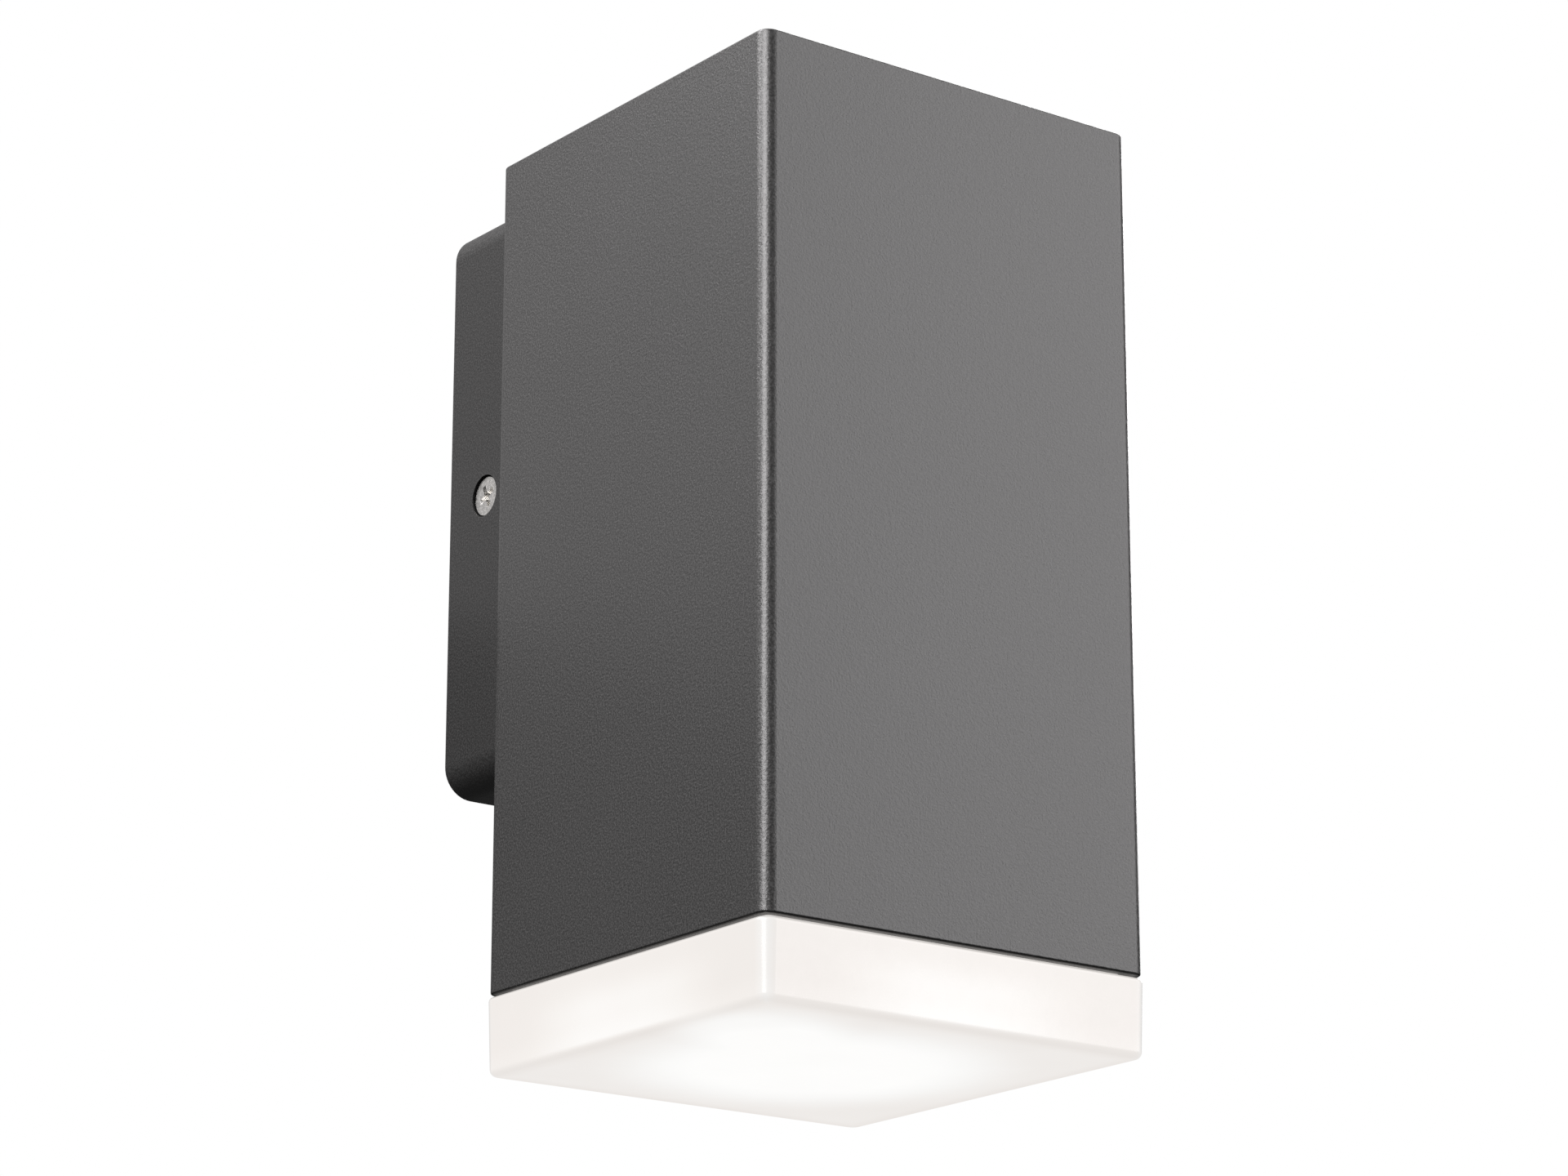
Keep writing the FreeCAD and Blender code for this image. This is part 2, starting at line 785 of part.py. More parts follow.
def make_side_screws():
    master = make_screw("side_screw", countersunk_head(), "screw_radius", "side_screw_length")
    cross_recess(master)
    pieces = []
    y = "0 - canopy_depth / 2"
    spin = FreeCAD.Rotation(Z_AXIS, number("side_screw_turn"))
    for (side, sign), turn in zip(SIDES, (90, -90)):
        facing_out = FreeCAD.Rotation(Y_AXIS, turn)
        x = f"{sign}(canopy_width / 2 - side_mouth_depth)"
        pieces.append(copy_of(master, f"side_screw_{side}", x, y, "0", facing_out * spin))
    return group("side_screws", pieces)


def make_housing_screws():
    head = pan_head("pan_head_radius", "pan_head_height", "screw_radius")
    length = "joint_screw_length + pan_head_height"
    master = make_screw("housing_screw", head, "screw_radius", length)
    cross_recess(master)
    towards_front = FreeCAD.Rotation(X_AXIS, -90)
    y = CANOPY_INSIDE_Y + " + pan_head_height"
    pieces = [
        copy_of(master, f"housing_screw_{name}", x, y, z, towards_front)
        for name, x, z in joint_places()
    ]
    return group("housing_screws", pieces)


def make_nut(name, across_flats, height, hole_radius):
    """A hexagon nut that stands on z = 0."""
    body = new_body(name)
    section = new_sketch(body, name + "_section", "XY_Plane")
    apothem = f"({across_flats}) / 2"
    corners = []
    for step in range(6):
        angle = 60 * step + 30
        reach = f"{apothem} / cos(30)"
        corners.append((f"{reach} * cos({angle})", f"{reach} * sin({angle})"))
    draw_outline(section, corners)
    draw_circle(section, hole_radius)
    pad(body, section, height)
    return body


def make_housing_nuts():
    hole = "screw_radius + tapped_clearance"
    master = make_nut("housing_nut", "nut_across_flats", "nut_height", hole)
    towards_front = FreeCAD.Rotation(X_AXIS, 90)
    y = BODY_INSIDE_Y + " - holder_sheet"
    pieces = [
        copy_of(master, f"housing_nut_{name}", x, y, z, towards_front)
        for name, x, z in joint_places()
    ]
    return group("housing_nuts", pieces)


# ---- Wire grommet and wiring -----------------------------------------------------------------

def make_wire_grommet():
    body = new_body("wire_grommet")
    place(body, y=CANOPY_INSIDE_Y, z="wire_height")
    section = new_sketch(body, "grommet_section", "XY_Plane")
    held = "(canopy_wall + body_wall + holder_sheet)"
    draw_outline(section, [
        ("wire_bore_radius", "wire_flange"),
        ("wire_flange_radius - wire_edge", "wire_flange"),
        ("wire_flange_radius", "wire_flange - wire_edge"),
        ("wire_flange_radius", "0"),
        ("wire_hole_radius", "0"),
        ("wire_hole_radius", f"0 - {held}"),
        ("wire_flange_radius", f"0 - {held}"),
        ("wire_flange_radius", f"wire_edge - {held} - wire_flange"),
        ("wire_flange_radius - wire_edge", f"0 - {held} - wire_flange"),
        ("wire_bore_radius", f"0 - {held} - wire_flange"),
    ])
    revolve(body, section)
    return body


def pole_places():
    """The x of the three poles: live, neutral and earth, from left to right."""
    return [("live", "0 - pole_pitch"), ("neutral", "0"), ("earth", "pole_pitch")]


def clamp_places():
    """The x and z of the six clamping screws, in the block's own frame."""
    places = []
    for pole, x in pole_places():
        places.append((pole + "_lamp", x, "clamp_spread"))
        places.append((pole + "_supply", x, "0 - clamp_spread"))
    return places


def make_terminal_block():
    """Its own frame: y = 0 on the canopy's inner face, rising towards the wall."""
    body = new_body("terminal_block")
    place(body, y=CANOPY_INSIDE_Y, z="block_middle")
    base = new_sketch(body, "block_base", "XZ_Plane")
    draw_rounded(base, "3 * pole_pitch", "block_length", "block_corner")
    pad(body, base, "block_base", backwards=True)
    towers = new_sketch(body, "block_towers", "XZ_Plane")
    for _, x, z in clamp_places():
        draw_circle(towers, "chimney_radius", x, z)
    pad(body, towers, "block_height", backwards=True)
    bores = new_sketch(body, "block_bores", "XY_Plane", up="block_length / 2 + 1")
    for _, x in pole_places():
        draw_circle(bores, "sleeve_radius", x, "block_base / 2")
    pocket(body, bores, "block_length + 2")
    wells = new_sketch(body, "block_wells", "XZ_Plane", up="0 - block_height - 1")
    for _, x, z in clamp_places():
        draw_circle(wells, "clamp_head_radius + screw_clearance", x, z)
    pocket(body, wells, "block_height + 1 - block_base / 2", along_normal=True)
    fixing = new_sketch(body, "block_fixing", "XZ_Plane", up="0 - block_base - 1")
    for _, sign in SIDES:
        draw_circle(fixing, "block_screw_radius + screw_clearance", f"{sign}pole_pitch / 2", "0")
    pocket(body, fixing, "block_base + 2", along_normal=True)
    return body


def make_terminal_sleeves():
    body = new_body("terminal_sleeves")
    place(body, y=CANOPY_INSIDE_Y + " + block_base / 2", z="block_middle")
    rings = new_sketch(body, "sleeve_rings", "XY_Plane", up="0 - sleeve_length / 2")
    for _, x in pole_places():
        draw_circle(rings, "sleeve_radius - tapped_clearance", x, "0")
        draw_circle(rings, "sleeve_bore", x, "0")
    pad(body, rings, "sleeve_length")
    threads = new_sketch(body, "sleeve_threads", "XZ_Plane", up="0 - sleeve_radius - 1")
    for _, x, z in clamp_places():
        draw_circle(threads, "clamp_radius + tapped_clearance", x, z)
    pocket(body, threads, "sleeve_radius + 1", along_normal=True)
    return body


def make_terminal_screws():
    head = pan_head("clamp_head_radius", "clamp_head_height", "clamp_radius")
    master = make_screw("terminal_screw", head, "clamp_radius", "clamp_length")
    slot = new_sketch(master, "terminal_screw_slot", "XY_Plane")
    draw_rectangle(slot, "3 * clamp_head_radius", "clamp_slot_width")
    pocket(master, slot, "clamp_slot_depth")
    facing_wall = FreeCAD.Rotation(X_AXIS, -90)
    y = CANOPY_INSIDE_Y + " + block_base / 2 + sleeve_radius + clamp_stand"
    pieces = [
        copy_of(master, f"terminal_screw_{name}", x, y, "block_middle + " + z, facing_wall)
        for name, x, z in clamp_places()
    ]
    return group("terminal_screws", pieces)


def make_terminal_block_screws():
    head = pan_head("block_head_radius", "block_head_height", "block_screw_radius")
    master = make_screw("terminal_block_screw", head, "block_screw_radius", "block_screw_length")
    cross_recess(master, "small_recess")
    facing_wall = FreeCAD.Rotation(X_AXIS, -90)
    y = CANOPY_INSIDE_Y + " + block_base + block_head_height"
    pieces = [
        copy_of(master, f"block_screw_{side}", f"{sign}pole_pitch / 2", y, "block_middle", facing_wall)
        for side, sign in SIDES
    ]
    return group("terminal_block_screws", pieces)


def make_earth_lug():
    """A ring tag under the earth screw, with a barrel that holds the end of the earth lead."""
    body = new_body("earth_lug")
    place(body, "earth_across", CANOPY_INSIDE_Y, "earth_up")
    ring = new_sketch(body, "lug_ring", "XZ_Plane")
    draw_circle(ring, "lug_radius")
    pad(body, ring, "lug_sheet", backwards=True)
    neck = new_sketch(body, "lug_neck", "XZ_Plane", y="0 - lug_neck_down")
    draw_rectangle(neck, "lug_neck_width", "lug_neck_length")
    pad(body, neck, "lug_sheet", backwards=True)
    barrel = new_sketch(body, "lug_barrel", "XY_Plane", y="barrel_radius", up="0 - barrel_down")
    draw_circle(barrel, "barrel_radius")
    pad(body, barrel, "barrel_length")
    bore = new_sketch(body, "lug_bore", "XY_Plane", y="barrel_radius", up="0 - barrel_down - 1")
    draw_circle(bore, "lead_radius + tapped_clearance")
    pocket(body, bore, "barrel_length", along_normal=True)
    hole = new_sketch(body, "lug_hole", "XZ_Plane", up="0 - lug_sheet - 1")
    draw_circle(hole, "screw_radius + screw_clearance")
    pocket(body, hole, "lug_sheet + 2", along_normal=True)
    return body


def make_earth_screw():
    head = pan_head("earth_head_radius", "pan_head_height", "screw_radius")
    length = "pan_head_height + lug_sheet + canopy_wall - tapped_clearance"
    body = make_screw("earth_screw", head, "screw_radius", length)
    cross_recess(body)
    y = CANOPY_INSIDE_Y + " + lug_sheet + pan_head_height"
    place(body, "earth_across", y, "earth_up", FreeCAD.Rotation(X_AXIS, -90))
    return body


def rounded_path(points, reach=0.45):
    """Straight runs through the points, joined by tangent arcs that are as large as fit."""
    edges = []
    start = points[0]
    for before, corner, after in zip(points, points[1:], points[2:]):
        back = before - corner
        ahead = after - corner
        trim = reach * min(back.Length, ahead.Length)
        entry = corner + back.normalize() * trim
        leave = corner + ahead.normalize() * trim
        half_turn = (math.pi - back.getAngle(ahead)) / 2
        radius = trim / math.tan(half_turn)
        inward = (back + ahead).normalize()
        centre = corner + inward * (radius / math.cos(half_turn))
        middle = centre - inward * radius
        edges.append(Part.LineSegment(start, entry).toShape())
        edges.append(Part.Arc(entry, middle, leave).toShape())
        start = leave
    edges.append(Part.LineSegment(start, points[-1]).toShape())
    return Part.Wire(edges)


def make_lead(name, points):
    """A round lead along the path through the points."""
    path = rounded_path([FreeCAD.Vector(*point) for point in points])
    radius = sheet.get("lead_radius")
    first = path.Edges[0]
    start = first.valueAt(first.FirstParameter)
    direction = first.tangentAt(first.FirstParameter)
    section = Part.Wire(Part.Circle(start, direction, radius).toShape())
    solid = path.makePipeShell([section], True, False)
    expected = math.pi * radius ** 2 * path.Length
    if abs(solid.Volume / expected - 1) > 0.02:
        raise RuntimeError(f"{name} has the wrong volume")
    lead = doc.addObject("Part::Feature", name)
    lead.Label = name
    lead.Shape = solid
    lead.Placement = FreeCAD.Placement()
    return lead


def lamp_lead(name, pole_x, bore_side, contact_side):
    """From its pole of the block, through the wire grommet and down into the lampholder."""
    sleeve_y = number(CANOPY_INSIDE_Y + " + block_base / 2")
    block_top = number("block_middle + clamp_spread + clamp_radius + 0.2")
    bore_x = bore_side * number("lead_offset")
    bore_z = number("wire_height")
    axis_y = number(AXIS_Y)
    contact_x = contact_side * number("pin_circle")
    holder_top = number(SHELF_Z)
    contact_top = number(HOLDER_FACE_Z + " + chamber_top + contact_post_reach") + 0.1
    return make_lead(name, [
        (pole_x, sleeve_y, block_top),
        (pole_x, sleeve_y + 0.5, -14),
        (pole_x * 0.7 + bore_x, sleeve_y + 6, -4),
        (bore_x, sleeve_y + 8, bore_z),
        (bore_x, -26, bore_z),
        (bore_x * 1.5, -42, bore_z + 2),
        (contact_x * 0.9, axis_y + 4, bore_z - 4),
        (contact_x, axis_y, holder_top + 8),
        (contact_x, axis_y, contact_top),
    ])


def earth_lead():
    pole_x = number("pole_pitch")
    sleeve_y = number(CANOPY_INSIDE_Y + " + block_base / 2")
    block_top = number("block_middle + clamp_spread + clamp_radius + 0.2")
    lug_x = number("earth_across")
    lug_z = number("earth_up - lug_radius - 3")
    return make_lead("earth_lead", [
        (pole_x, sleeve_y, block_top),
        (pole_x, sleeve_y + 0.2, -20),
        (lug_x, number(CANOPY_INSIDE_Y) + 1.5, -12.5),
        (lug_x, number(CANOPY_INSIDE_Y) + 1.5, lug_z),
    ])


# ---- Lampholder and its bracket --------------------------------------------------------------

def make_lampholder_bracket():
    body = new_body("lampholder_bracket")
    flange_height = "(holder_top + holder_face_drop - holder_height)"
    flange = new_sketch(
        body, "bracket_flange", "XZ_Plane",
        y=f"holder_top - {flange_height} / 2", up="canopy_depth + body_wall",
    )
    draw_rectangle(flange, "holder_width", flange_height)
    pad(body, flange, "holder_sheet")
    shelf = new_sketch(
        body, "bracket_shelf", "XY_Plane",
        y=BODY_INSIDE_Y + " - shelf_reach / 2", up=SHELF_Z,
    )
    draw_rectangle(shelf, "holder_width", "shelf_reach")
    pad(body, shelf, "holder_sheet")
    rear = number(BODY_INSIDE_Y)
    level = number(SHELF_Z)
    thickness = number("holder_sheet")
    wide = number("holder_width") - 0.1

    def along_bend(y, z):
        def wanted(edge):
            box_of = edge.BoundBox
            in_corner = abs(box_of.YMin - y) < 0.01 and abs(box_of.ZMin - z) < 0.01
            return in_corner and box_of.XLength > wide
        return wanted

    round_edges(body, "shelf_inner_bend", "bend_radius", along_bend(rear - thickness, level + thickness))
    round_edges(body, "shelf_outer_bend", "bend_radius + holder_sheet", along_bend(rear, level))

    def upright_corner(edge):
        box_of = edge.BoundBox
        return abs(box_of.ZLength - thickness) < 0.1 and box_of.XLength < 0.01

    round_edges(body, "shelf_corners", "shelf_corner", upright_corner)
    holes = new_sketch(body, "flange_holes", "XZ_Plane", up="canopy_depth + body_wall - 1")
    draw_joint_holes(holes)
    pocket(body, holes, "holder_sheet + 2", along_normal=True)
    ports = new_sketch(body, "shelf_ports", "XY_Plane", y=AXIS_Y, up=SHELF_Z + " - 1")
    draw_circle(ports, "shelf_hole_radius")
    for _, sign in SIDES:
        draw_circle(ports, "small_screw_radius + screw_clearance", "0", f"{sign}holder_screw_spread")
    pocket(body, ports, "holder_sheet + 2", along_normal=True)
    return body


def turned_slot(name, radius, z, height, turn):
    """A round-ended slot along the pin circle, from a pin's locked place to its entry."""
    rotation = FreeCAD.Rotation(Z_AXIS, turn - number("twist_angle"))
    reach = f"pin_circle + {radius}"
    outer = cylinder(name + "_outer", reach, height, z=z, rotation=rotation, angle="twist_angle")
    inner = cylinder(name + "_inner", f"pin_circle - {radius}", height, z=z)
    sector = cut(name + "_sector", outer, inner)
    x_locked = f"pin_circle * cos({turn})"
    x_entry = f"pin_circle * cos({turn} - twist_angle)"
    y_entry = f"pin_circle * sin({turn} - twist_angle)"
    locked_end = cylinder(name + "_locked_end", radius, height, x_locked, "0", z)
    entry_end = cylinder(name + "_entry_end", radius, height, x_entry, y_entry, z)
    return fuse(name, [sector, locked_end, entry_end])


def make_lampholder_body():
    """Its own frame: z = 0 on the lower face, where the lamp's pins enter."""
    disc = cylinder("holder_disc", "holder_radius", "holder_height")
    below = "0 - 1"
    tools = []
    for (side, sign), turn in zip(SIDES, (0, 180)):
        x_entry = f"pin_circle * cos({turn} - twist_angle)"
        y_entry = f"pin_circle * sin({turn} - twist_angle)"
        x_pin = f"{sign}pin_circle"
        y_screw = f"{sign}holder_screw_spread"
        slot_height = "keyhole_face + 1.1"
        chamber_height = "chamber_top - keyhole_face"
        bore_start = "chamber_top - 1"
        bore_height = "holder_height - chamber_top + 2"
        through = "holder_height + 2"
        sink_height = "small_head_height + 2"
        screw_hole = "small_screw_radius + screw_clearance"
        sink = "small_head_radius + 2 * screw_clearance"
        tools += [
            turned_slot(f"stem_slot_{side}", "keyhole_slot_radius", below, slot_height, turn),
            turned_slot(f"head_chamber_{side}", "chamber_radius", "keyhole_face", chamber_height, turn),
            cylinder(f"entry_{side}", "keyhole_entry_radius", slot_height, x_entry, y_entry, below),
            cylinder(f"lead_bore_{side}", "holder_lead_radius", bore_height, x_pin, "0", bore_start),
            cylinder(f"screw_bore_{side}", screw_hole, through, "0", y_screw, below),
            cylinder(f"screw_sink_{side}", sink, sink_height, "0", y_screw, below),
        ]
    thing = cut("lampholder_body", disc, fuse("holder_hollows", tools))
    thing.Label = "lampholder_body"
    place(thing, "0", AXIS_Y, HOLDER_FACE_Z)
    return thing


def make_lampholder_contacts():
    """A plate over each pin's head, with a post up to the end of its lead."""
    pieces = []
    above_face = "pin_stem + pin_head - lamp_gap + contact_gap"
    level = f"{HOLDER_FACE_Z} + {above_face}"
    post_height = f"chamber_top + contact_post_reach - ({above_face})"
    y_plate = AXIS_Y + " - contact_width / 2"
    for side, sign in SIDES:
        x = f"{sign}pin_circle"
        x_plate = f"{x} - contact_length / 2"
        plate = box(
            f"contact_plate_{side}", "contact_length", "contact_width", "contact_sheet",
            x_plate, y_plate, level,
        )
        post = cylinder(f"contact_post_{side}", "contact_post_radius", post_height, x, AXIS_Y, level)
        pieces.append(fuse(f"contact_{side}", [plate, post]))
    return group("lampholder_contacts", pieces)


def holder_screw_places():
    """The y of the two screws that hold the lampholder."""
    return [
        ("rear", AXIS_Y + " + holder_screw_spread"),
        ("front", AXIS_Y + " - holder_screw_spread"),
    ]


def make_lampholder_screws():
    head = pan_head("small_head_radius", "small_head_height", "small_screw_radius")
    length = "holder_height + holder_sheet + small_nut_height"
    master = make_screw("lampholder_screw", head, "small_screw_radius", length)
    cross_recess(master, "small_recess")
    upwards = FreeCAD.Rotation(X_AXIS, 180)
    head_z = HOLDER_FACE_Z + " + 1"
    pieces = [
        copy_of(master, f"lampholder_screw_{side}", "0", y, head_z, upwards)
        for side, y in holder_screw_places()
    ]
    return group("lampholder_screws", pieces)


def make_lampholder_nuts():
    hole = "small_screw_radius + tapped_clearance"
    master = make_nut("lampholder_nut", "small_nut_flats", "small_nut_height", hole)
    pieces = [
        copy_of(master, f"lampholder_nut_{side}", "0", y, SHELF_Z + " + holder_sheet")
        for side, y in holder_screw_places()
    ]
    return group("lampholder_nuts", pieces)


# ---- Lamp ------------------------------------------------------------------------------------

def turned_piece(name, corners):
    """A piece of the lamp turned from its half section, given as radius and height."""
    body = new_body(name)
    place(body, y=AXIS_Y, z=LAMP_TOP_Z)
    section = new_sketch(body, name + "_section", "XZ_Plane")
    draw_outline(section, corners)
    revolve(body, section)
    return body


def make_lamp_base():
    inner = "lamp_neck_radius - lamp_wall * 1.5"
    flare = "lamp_shoulder_radius - lamp_wall * 1.5"
    body = turned_piece("lamp_base", [
        ("0", "0"),
        ("lamp_neck_radius - lamp_edge", "0"),
        ("lamp_neck_radius", "0 - lamp_edge"),
        ("lamp_neck_radius", "0 - lamp_neck_length"),
        ("lamp_shoulder_radius", "0 - lamp_shoulder"),
        (flare, "0 - lamp_shoulder"),
        (inner, "0 - lamp_neck_length"),
        (inner, "0 - lamp_top"),
        ("0", "0 - lamp_top"),
    ])
    holes = new_sketch(body, "base_pin_holes", "XY_Plane", up="1")
    for _, sign in SIDES:
        draw_circle(holes, "pin_radius + tapped_clearance", f"{sign}pin_circle", "0")
    pocket(body, holes, "lamp_top + 0.1")
    return body


def make_lamp_shell():
    """A thin bowl that widens in steps from the base down to the rim round the lens."""
    rim_top = "lamp_rim_height - lamp_length"
    below = "0 - lamp_shoulder - "
    outside = "lamp_shoulder_radius + "
    return turned_piece("lamp_shell", [
        ("lamp_shoulder_radius - lamp_wall", "0 - lamp_shoulder"),
        (outside + "shell_step", "0 - lamp_shoulder"),
        (outside + "6 * shell_step", below + "7"),
        (outside + "11 * shell_step", below + "15"),
        ("lamp_radius - lamp_rim_edge", rim_top + " - lamp_edge"),
        ("lamp_radius", rim_top + " - 3 * lamp_edge"),
        ("lamp_radius", "lamp_rim_edge - lamp_length"),
        ("lamp_radius - lamp_rim_edge", "0 - lamp_length"),
        ("lens_radius + lens_gap", "0 - lamp_length"),
        ("lens_radius + lens_gap", "lens_thickness - lamp_length"),
        ("lens_radius - lens_seat", "lens_thickness - lamp_length"),
        ("lens_radius - lens_seat", rim_top + " - 3 * lamp_edge"),
        (outside + "8 * shell_step", below + "16"),
        (outside + "3 * shell_step", below + "8"),
    ])


def make_lamp_lens():
    """A disc with a shallow dished front, set flush in the shell's rim."""
    front = "0 - lamp_length"
    return turned_piece("lamp_lens", [
        ("0", front + " + lens_thickness"),
        ("lens_radius", front + " + lens_thickness"),
        ("lens_radius", front + " + lens_edge"),
        ("lens_radius - lens_edge", front),
        ("lens_radius - 4 * lens_dish", front),
        ("lens_radius - 6 * lens_dish", front + " + lens_dish"),
        ("0", front + " + lens_dish"),
    ])


def make_lamp_pins():
    pieces = []
    for side, sign in SIDES:
        x = f"{sign}pin_circle"
        stem_z = LAMP_TOP_Z + " - 2"
        head_z = LAMP_TOP_Z + " + pin_stem"
        stem = cylinder(f"stem_{side}", "pin_radius", "pin_stem + 2", x, AXIS_Y, stem_z)
        head = cylinder(f"head_{side}", "pin_head_radius", "pin_head", x, AXIS_Y, head_z)
        pieces.append(fuse(f"pin_{side}", [stem, head]))
    return group("lamp_pins", pieces)


def make_led_board():
    """A metal board across the shell, with a hole in its middle for the driver's wires."""
    under = "0 - board_depth"
    over = under + " + board_thickness"
    return turned_piece("led_board", [
        ("board_hole_radius", under),
        ("board_radius", under),
        ("board_radius", over),
        ("board_hole_radius", over),
    ])


def make_led_chips():
    pieces = []
    count = 6
    for index in range(count):
        angle = 360 / count * index
        x = f"chip_circle * cos({angle}) - chip_side / 2"
        y = AXIS_Y + f" + chip_circle * sin({angle}) - chip_side / 2"
        z = LAMP_TOP_Z + " - board_depth - chip_height"
        pieces.append(box(f"chip_{index}", "chip_side", "chip_side", "chip_height", x, y, z))
    return group("led_chips", pieces)


def make_driver_board():
    """The lamp's driver: an upright board in the neck, with a capacitor behind and a coil before."""
    level = LAMP_TOP_Z + " - driver_depth"
    board = box(
        "driver_plate", "driver_width", "driver_sheet", "driver_length",
        "0 - driver_width / 2", AXIS_Y + " - driver_sheet / 2", level,
    )
    capacitor = cylinder(
        "driver_capacitor", "capacitor_radius", "capacitor_length",
        "0 - 2.5", AXIS_Y + " + capacitor_radius + 0.5", level + " + 2",
    )
    coil = box(
        "driver_coil", "coil_side", "coil_depth", "coil_side",
        "0", AXIS_Y + " - coil_depth - 0.5", level + " + 4",
    )
    thing = fuse("driver_board", [board, capacitor, coil])
    thing.Label = "driver_board"
    return thing


# ---- Diffuser --------------------------------------------------------------------------------

def make_diffuser():
    """Its own frame: z = 0 at the body's lower end. The cup hangs below, the neck rises inside."""
    body = new_body("diffuser")
    place(body, y=AXIS_Y, z=BODY_BOTTOM_Z)
    cup = new_sketch(body, "cup_outline", "XY_Plane", up="0 - diffuser_gap")
    draw_rounded(cup, "diffuser_width", "diffuser_width", "diffuser_corner")
    pad(body, cup, "diffuser_height", backwards=True, taper="0 - diffuser_draft")
    neck = new_sketch(body, "neck_outline", "XY_Plane", up="0 - diffuser_gap - 1")
    draw_rounded(neck, "neck_width", "neck_width", "neck_corner")
    pad(body, neck, "neck_height + diffuser_gap + 1")
    shoulder = -number("diffuser_gap")
    floor = -number("diffuser_gap + diffuser_height")
    reach = number("neck_width / 2") + 0.5
    on_shoulder = flat_at("Z", shoulder)

    def shoulder_edge(edge):
        middle = edge.valueAt((edge.FirstParameter + edge.LastParameter) / 2)
        return on_shoulder(edge) and max(abs(middle.x), abs(middle.y)) > reach

    round_edges(body, "cup_lower_edge", "diffuser_edge", flat_at("Z", floor))
    round_edges(body, "cup_shoulder_edge", "diffuser_shoulder_edge", shoulder_edge)
    hollow = new_sketch(body, "cup_hollow", "XY_Plane", up="neck_height + 1")
    inside = "neck_width - 2 * neck_wall"
    draw_rounded(hollow, inside, inside, "neck_corner")
    pocket(body, hollow, "neck_height + 1 + diffuser_gap + diffuser_height - diffuser_floor")
    channel = new_sketch(body, "neck_channel", "XY_Plane", up="seal_up")
    draw_rounded(channel, "body_width", "body_width", "neck_corner")
    floor_width = "neck_width - 2 * seal_depth"
    draw_rounded(channel, floor_width, floor_width, "neck_corner")
    pocket(body, channel, "seal_section", along_normal=True)
    return body


def make_diffuser_gasket():
    body = new_body("diffuser_gasket")
    place(body, y=AXIS_Y, z=BODY_BOTTOM_Z + " + seal_up")
    ring = new_sketch(body, "diffuser_seal_ring", "XY_Plane")
    outside = "body_width - 2 * body_wall - 2 * seal_fit"
    draw_rounded(ring, outside, outside, "body_inner_corner + 0.6")
    floor_width = "neck_width - 2 * seal_depth"
    draw_rounded(ring, floor_width, floor_width, "neck_corner")
    pad(body, ring, "seal_section")
    return body


# ---- The whole lantern -----------------------------------------------------------------------

nodes = [
    make_housing_tube(),
    make_top_cap(),
    make_top_cap_seal(),
    make_wall_canopy(),
    make_housing_gasket(),
    make_wall_gasket(),
    make_wall_bracket(),
    make_cable_inlet_grommet(),
    make_side_screws(),
    make_housing_screws(),
    make_housing_nuts(),
    make_wire_grommet(),
    make_terminal_block(),
    make_terminal_sleeves(),
    make_terminal_screws(),
    make_terminal_block_screws(),
    make_earth_lug(),
    make_earth_screw(),
    lamp_lead("live_lead", number("0 - pole_pitch"), -1, -1),
    lamp_lead("neutral_lead", 0, 1, 1),
    earth_lead(),
    make_lampholder_bracket(),
    make_lampholder_body(),
    make_lampholder_contacts(),
    make_lampholder_screws(),
    make_lampholder_nuts(),
    make_lamp_base(),
    make_lamp_shell(),
    make_lamp_lens(),
    make_lamp_pins(),
    make_led_board(),
    make_led_chips(),
    make_driver_board(),
    make_diffuser(),
    make_diffuser_gasket(),
]
doc.removeObject(probe.Name)
doc.recompute()

for thing in doc.Objects:
    if "Invalid" in thing.State or "Error" in thing.State:
        raise RuntimeError(f"{thing.Name} failed: {thing.State}")
for node in nodes:
    if node.Shape.isNull() or not node.Shape.isValid() or not node.Shape.Solids:
        raise RuntimeError(f"{node.Label} has no valid solid")

os.makedirs("parts", exist_ok=True)
for node in nodes:
    node.Shape.exportStep(f"parts/{node.Label}.step")
    print(f"{node.Label}: {len(node.Shape.Solids)} solid(s), {node.Shape.Volume:.1f} mm3")
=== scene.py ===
import math

import bpy
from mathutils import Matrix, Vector


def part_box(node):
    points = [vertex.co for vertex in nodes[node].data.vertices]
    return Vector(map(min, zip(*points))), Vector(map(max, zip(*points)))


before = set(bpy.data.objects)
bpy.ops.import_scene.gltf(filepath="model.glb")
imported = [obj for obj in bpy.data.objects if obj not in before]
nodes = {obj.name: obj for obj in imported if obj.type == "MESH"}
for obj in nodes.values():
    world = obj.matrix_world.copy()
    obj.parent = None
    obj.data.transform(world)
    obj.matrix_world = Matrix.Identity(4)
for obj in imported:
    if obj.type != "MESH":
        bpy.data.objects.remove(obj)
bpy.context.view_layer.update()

# Looks of the outdoor wall lantern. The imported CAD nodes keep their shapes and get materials
# here. Everything is in metres, in the row frame: the wall is y = 0, the lantern stands out
# towards -Y, and the origin is in the middle of the wall bracket.

MM = 0.001

tube_low, tube_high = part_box("housing_tube")
cup_low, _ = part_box("diffuser")
screw_low, screw_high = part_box("side_screws")
body_centre = (tube_low + tube_high) / 2
screw_axis_y = (screw_low.y + screw_high.y) / 2
floor_of_cup = cup_low.z


# ---- Shader building blocks ------------------------------------------------------------------

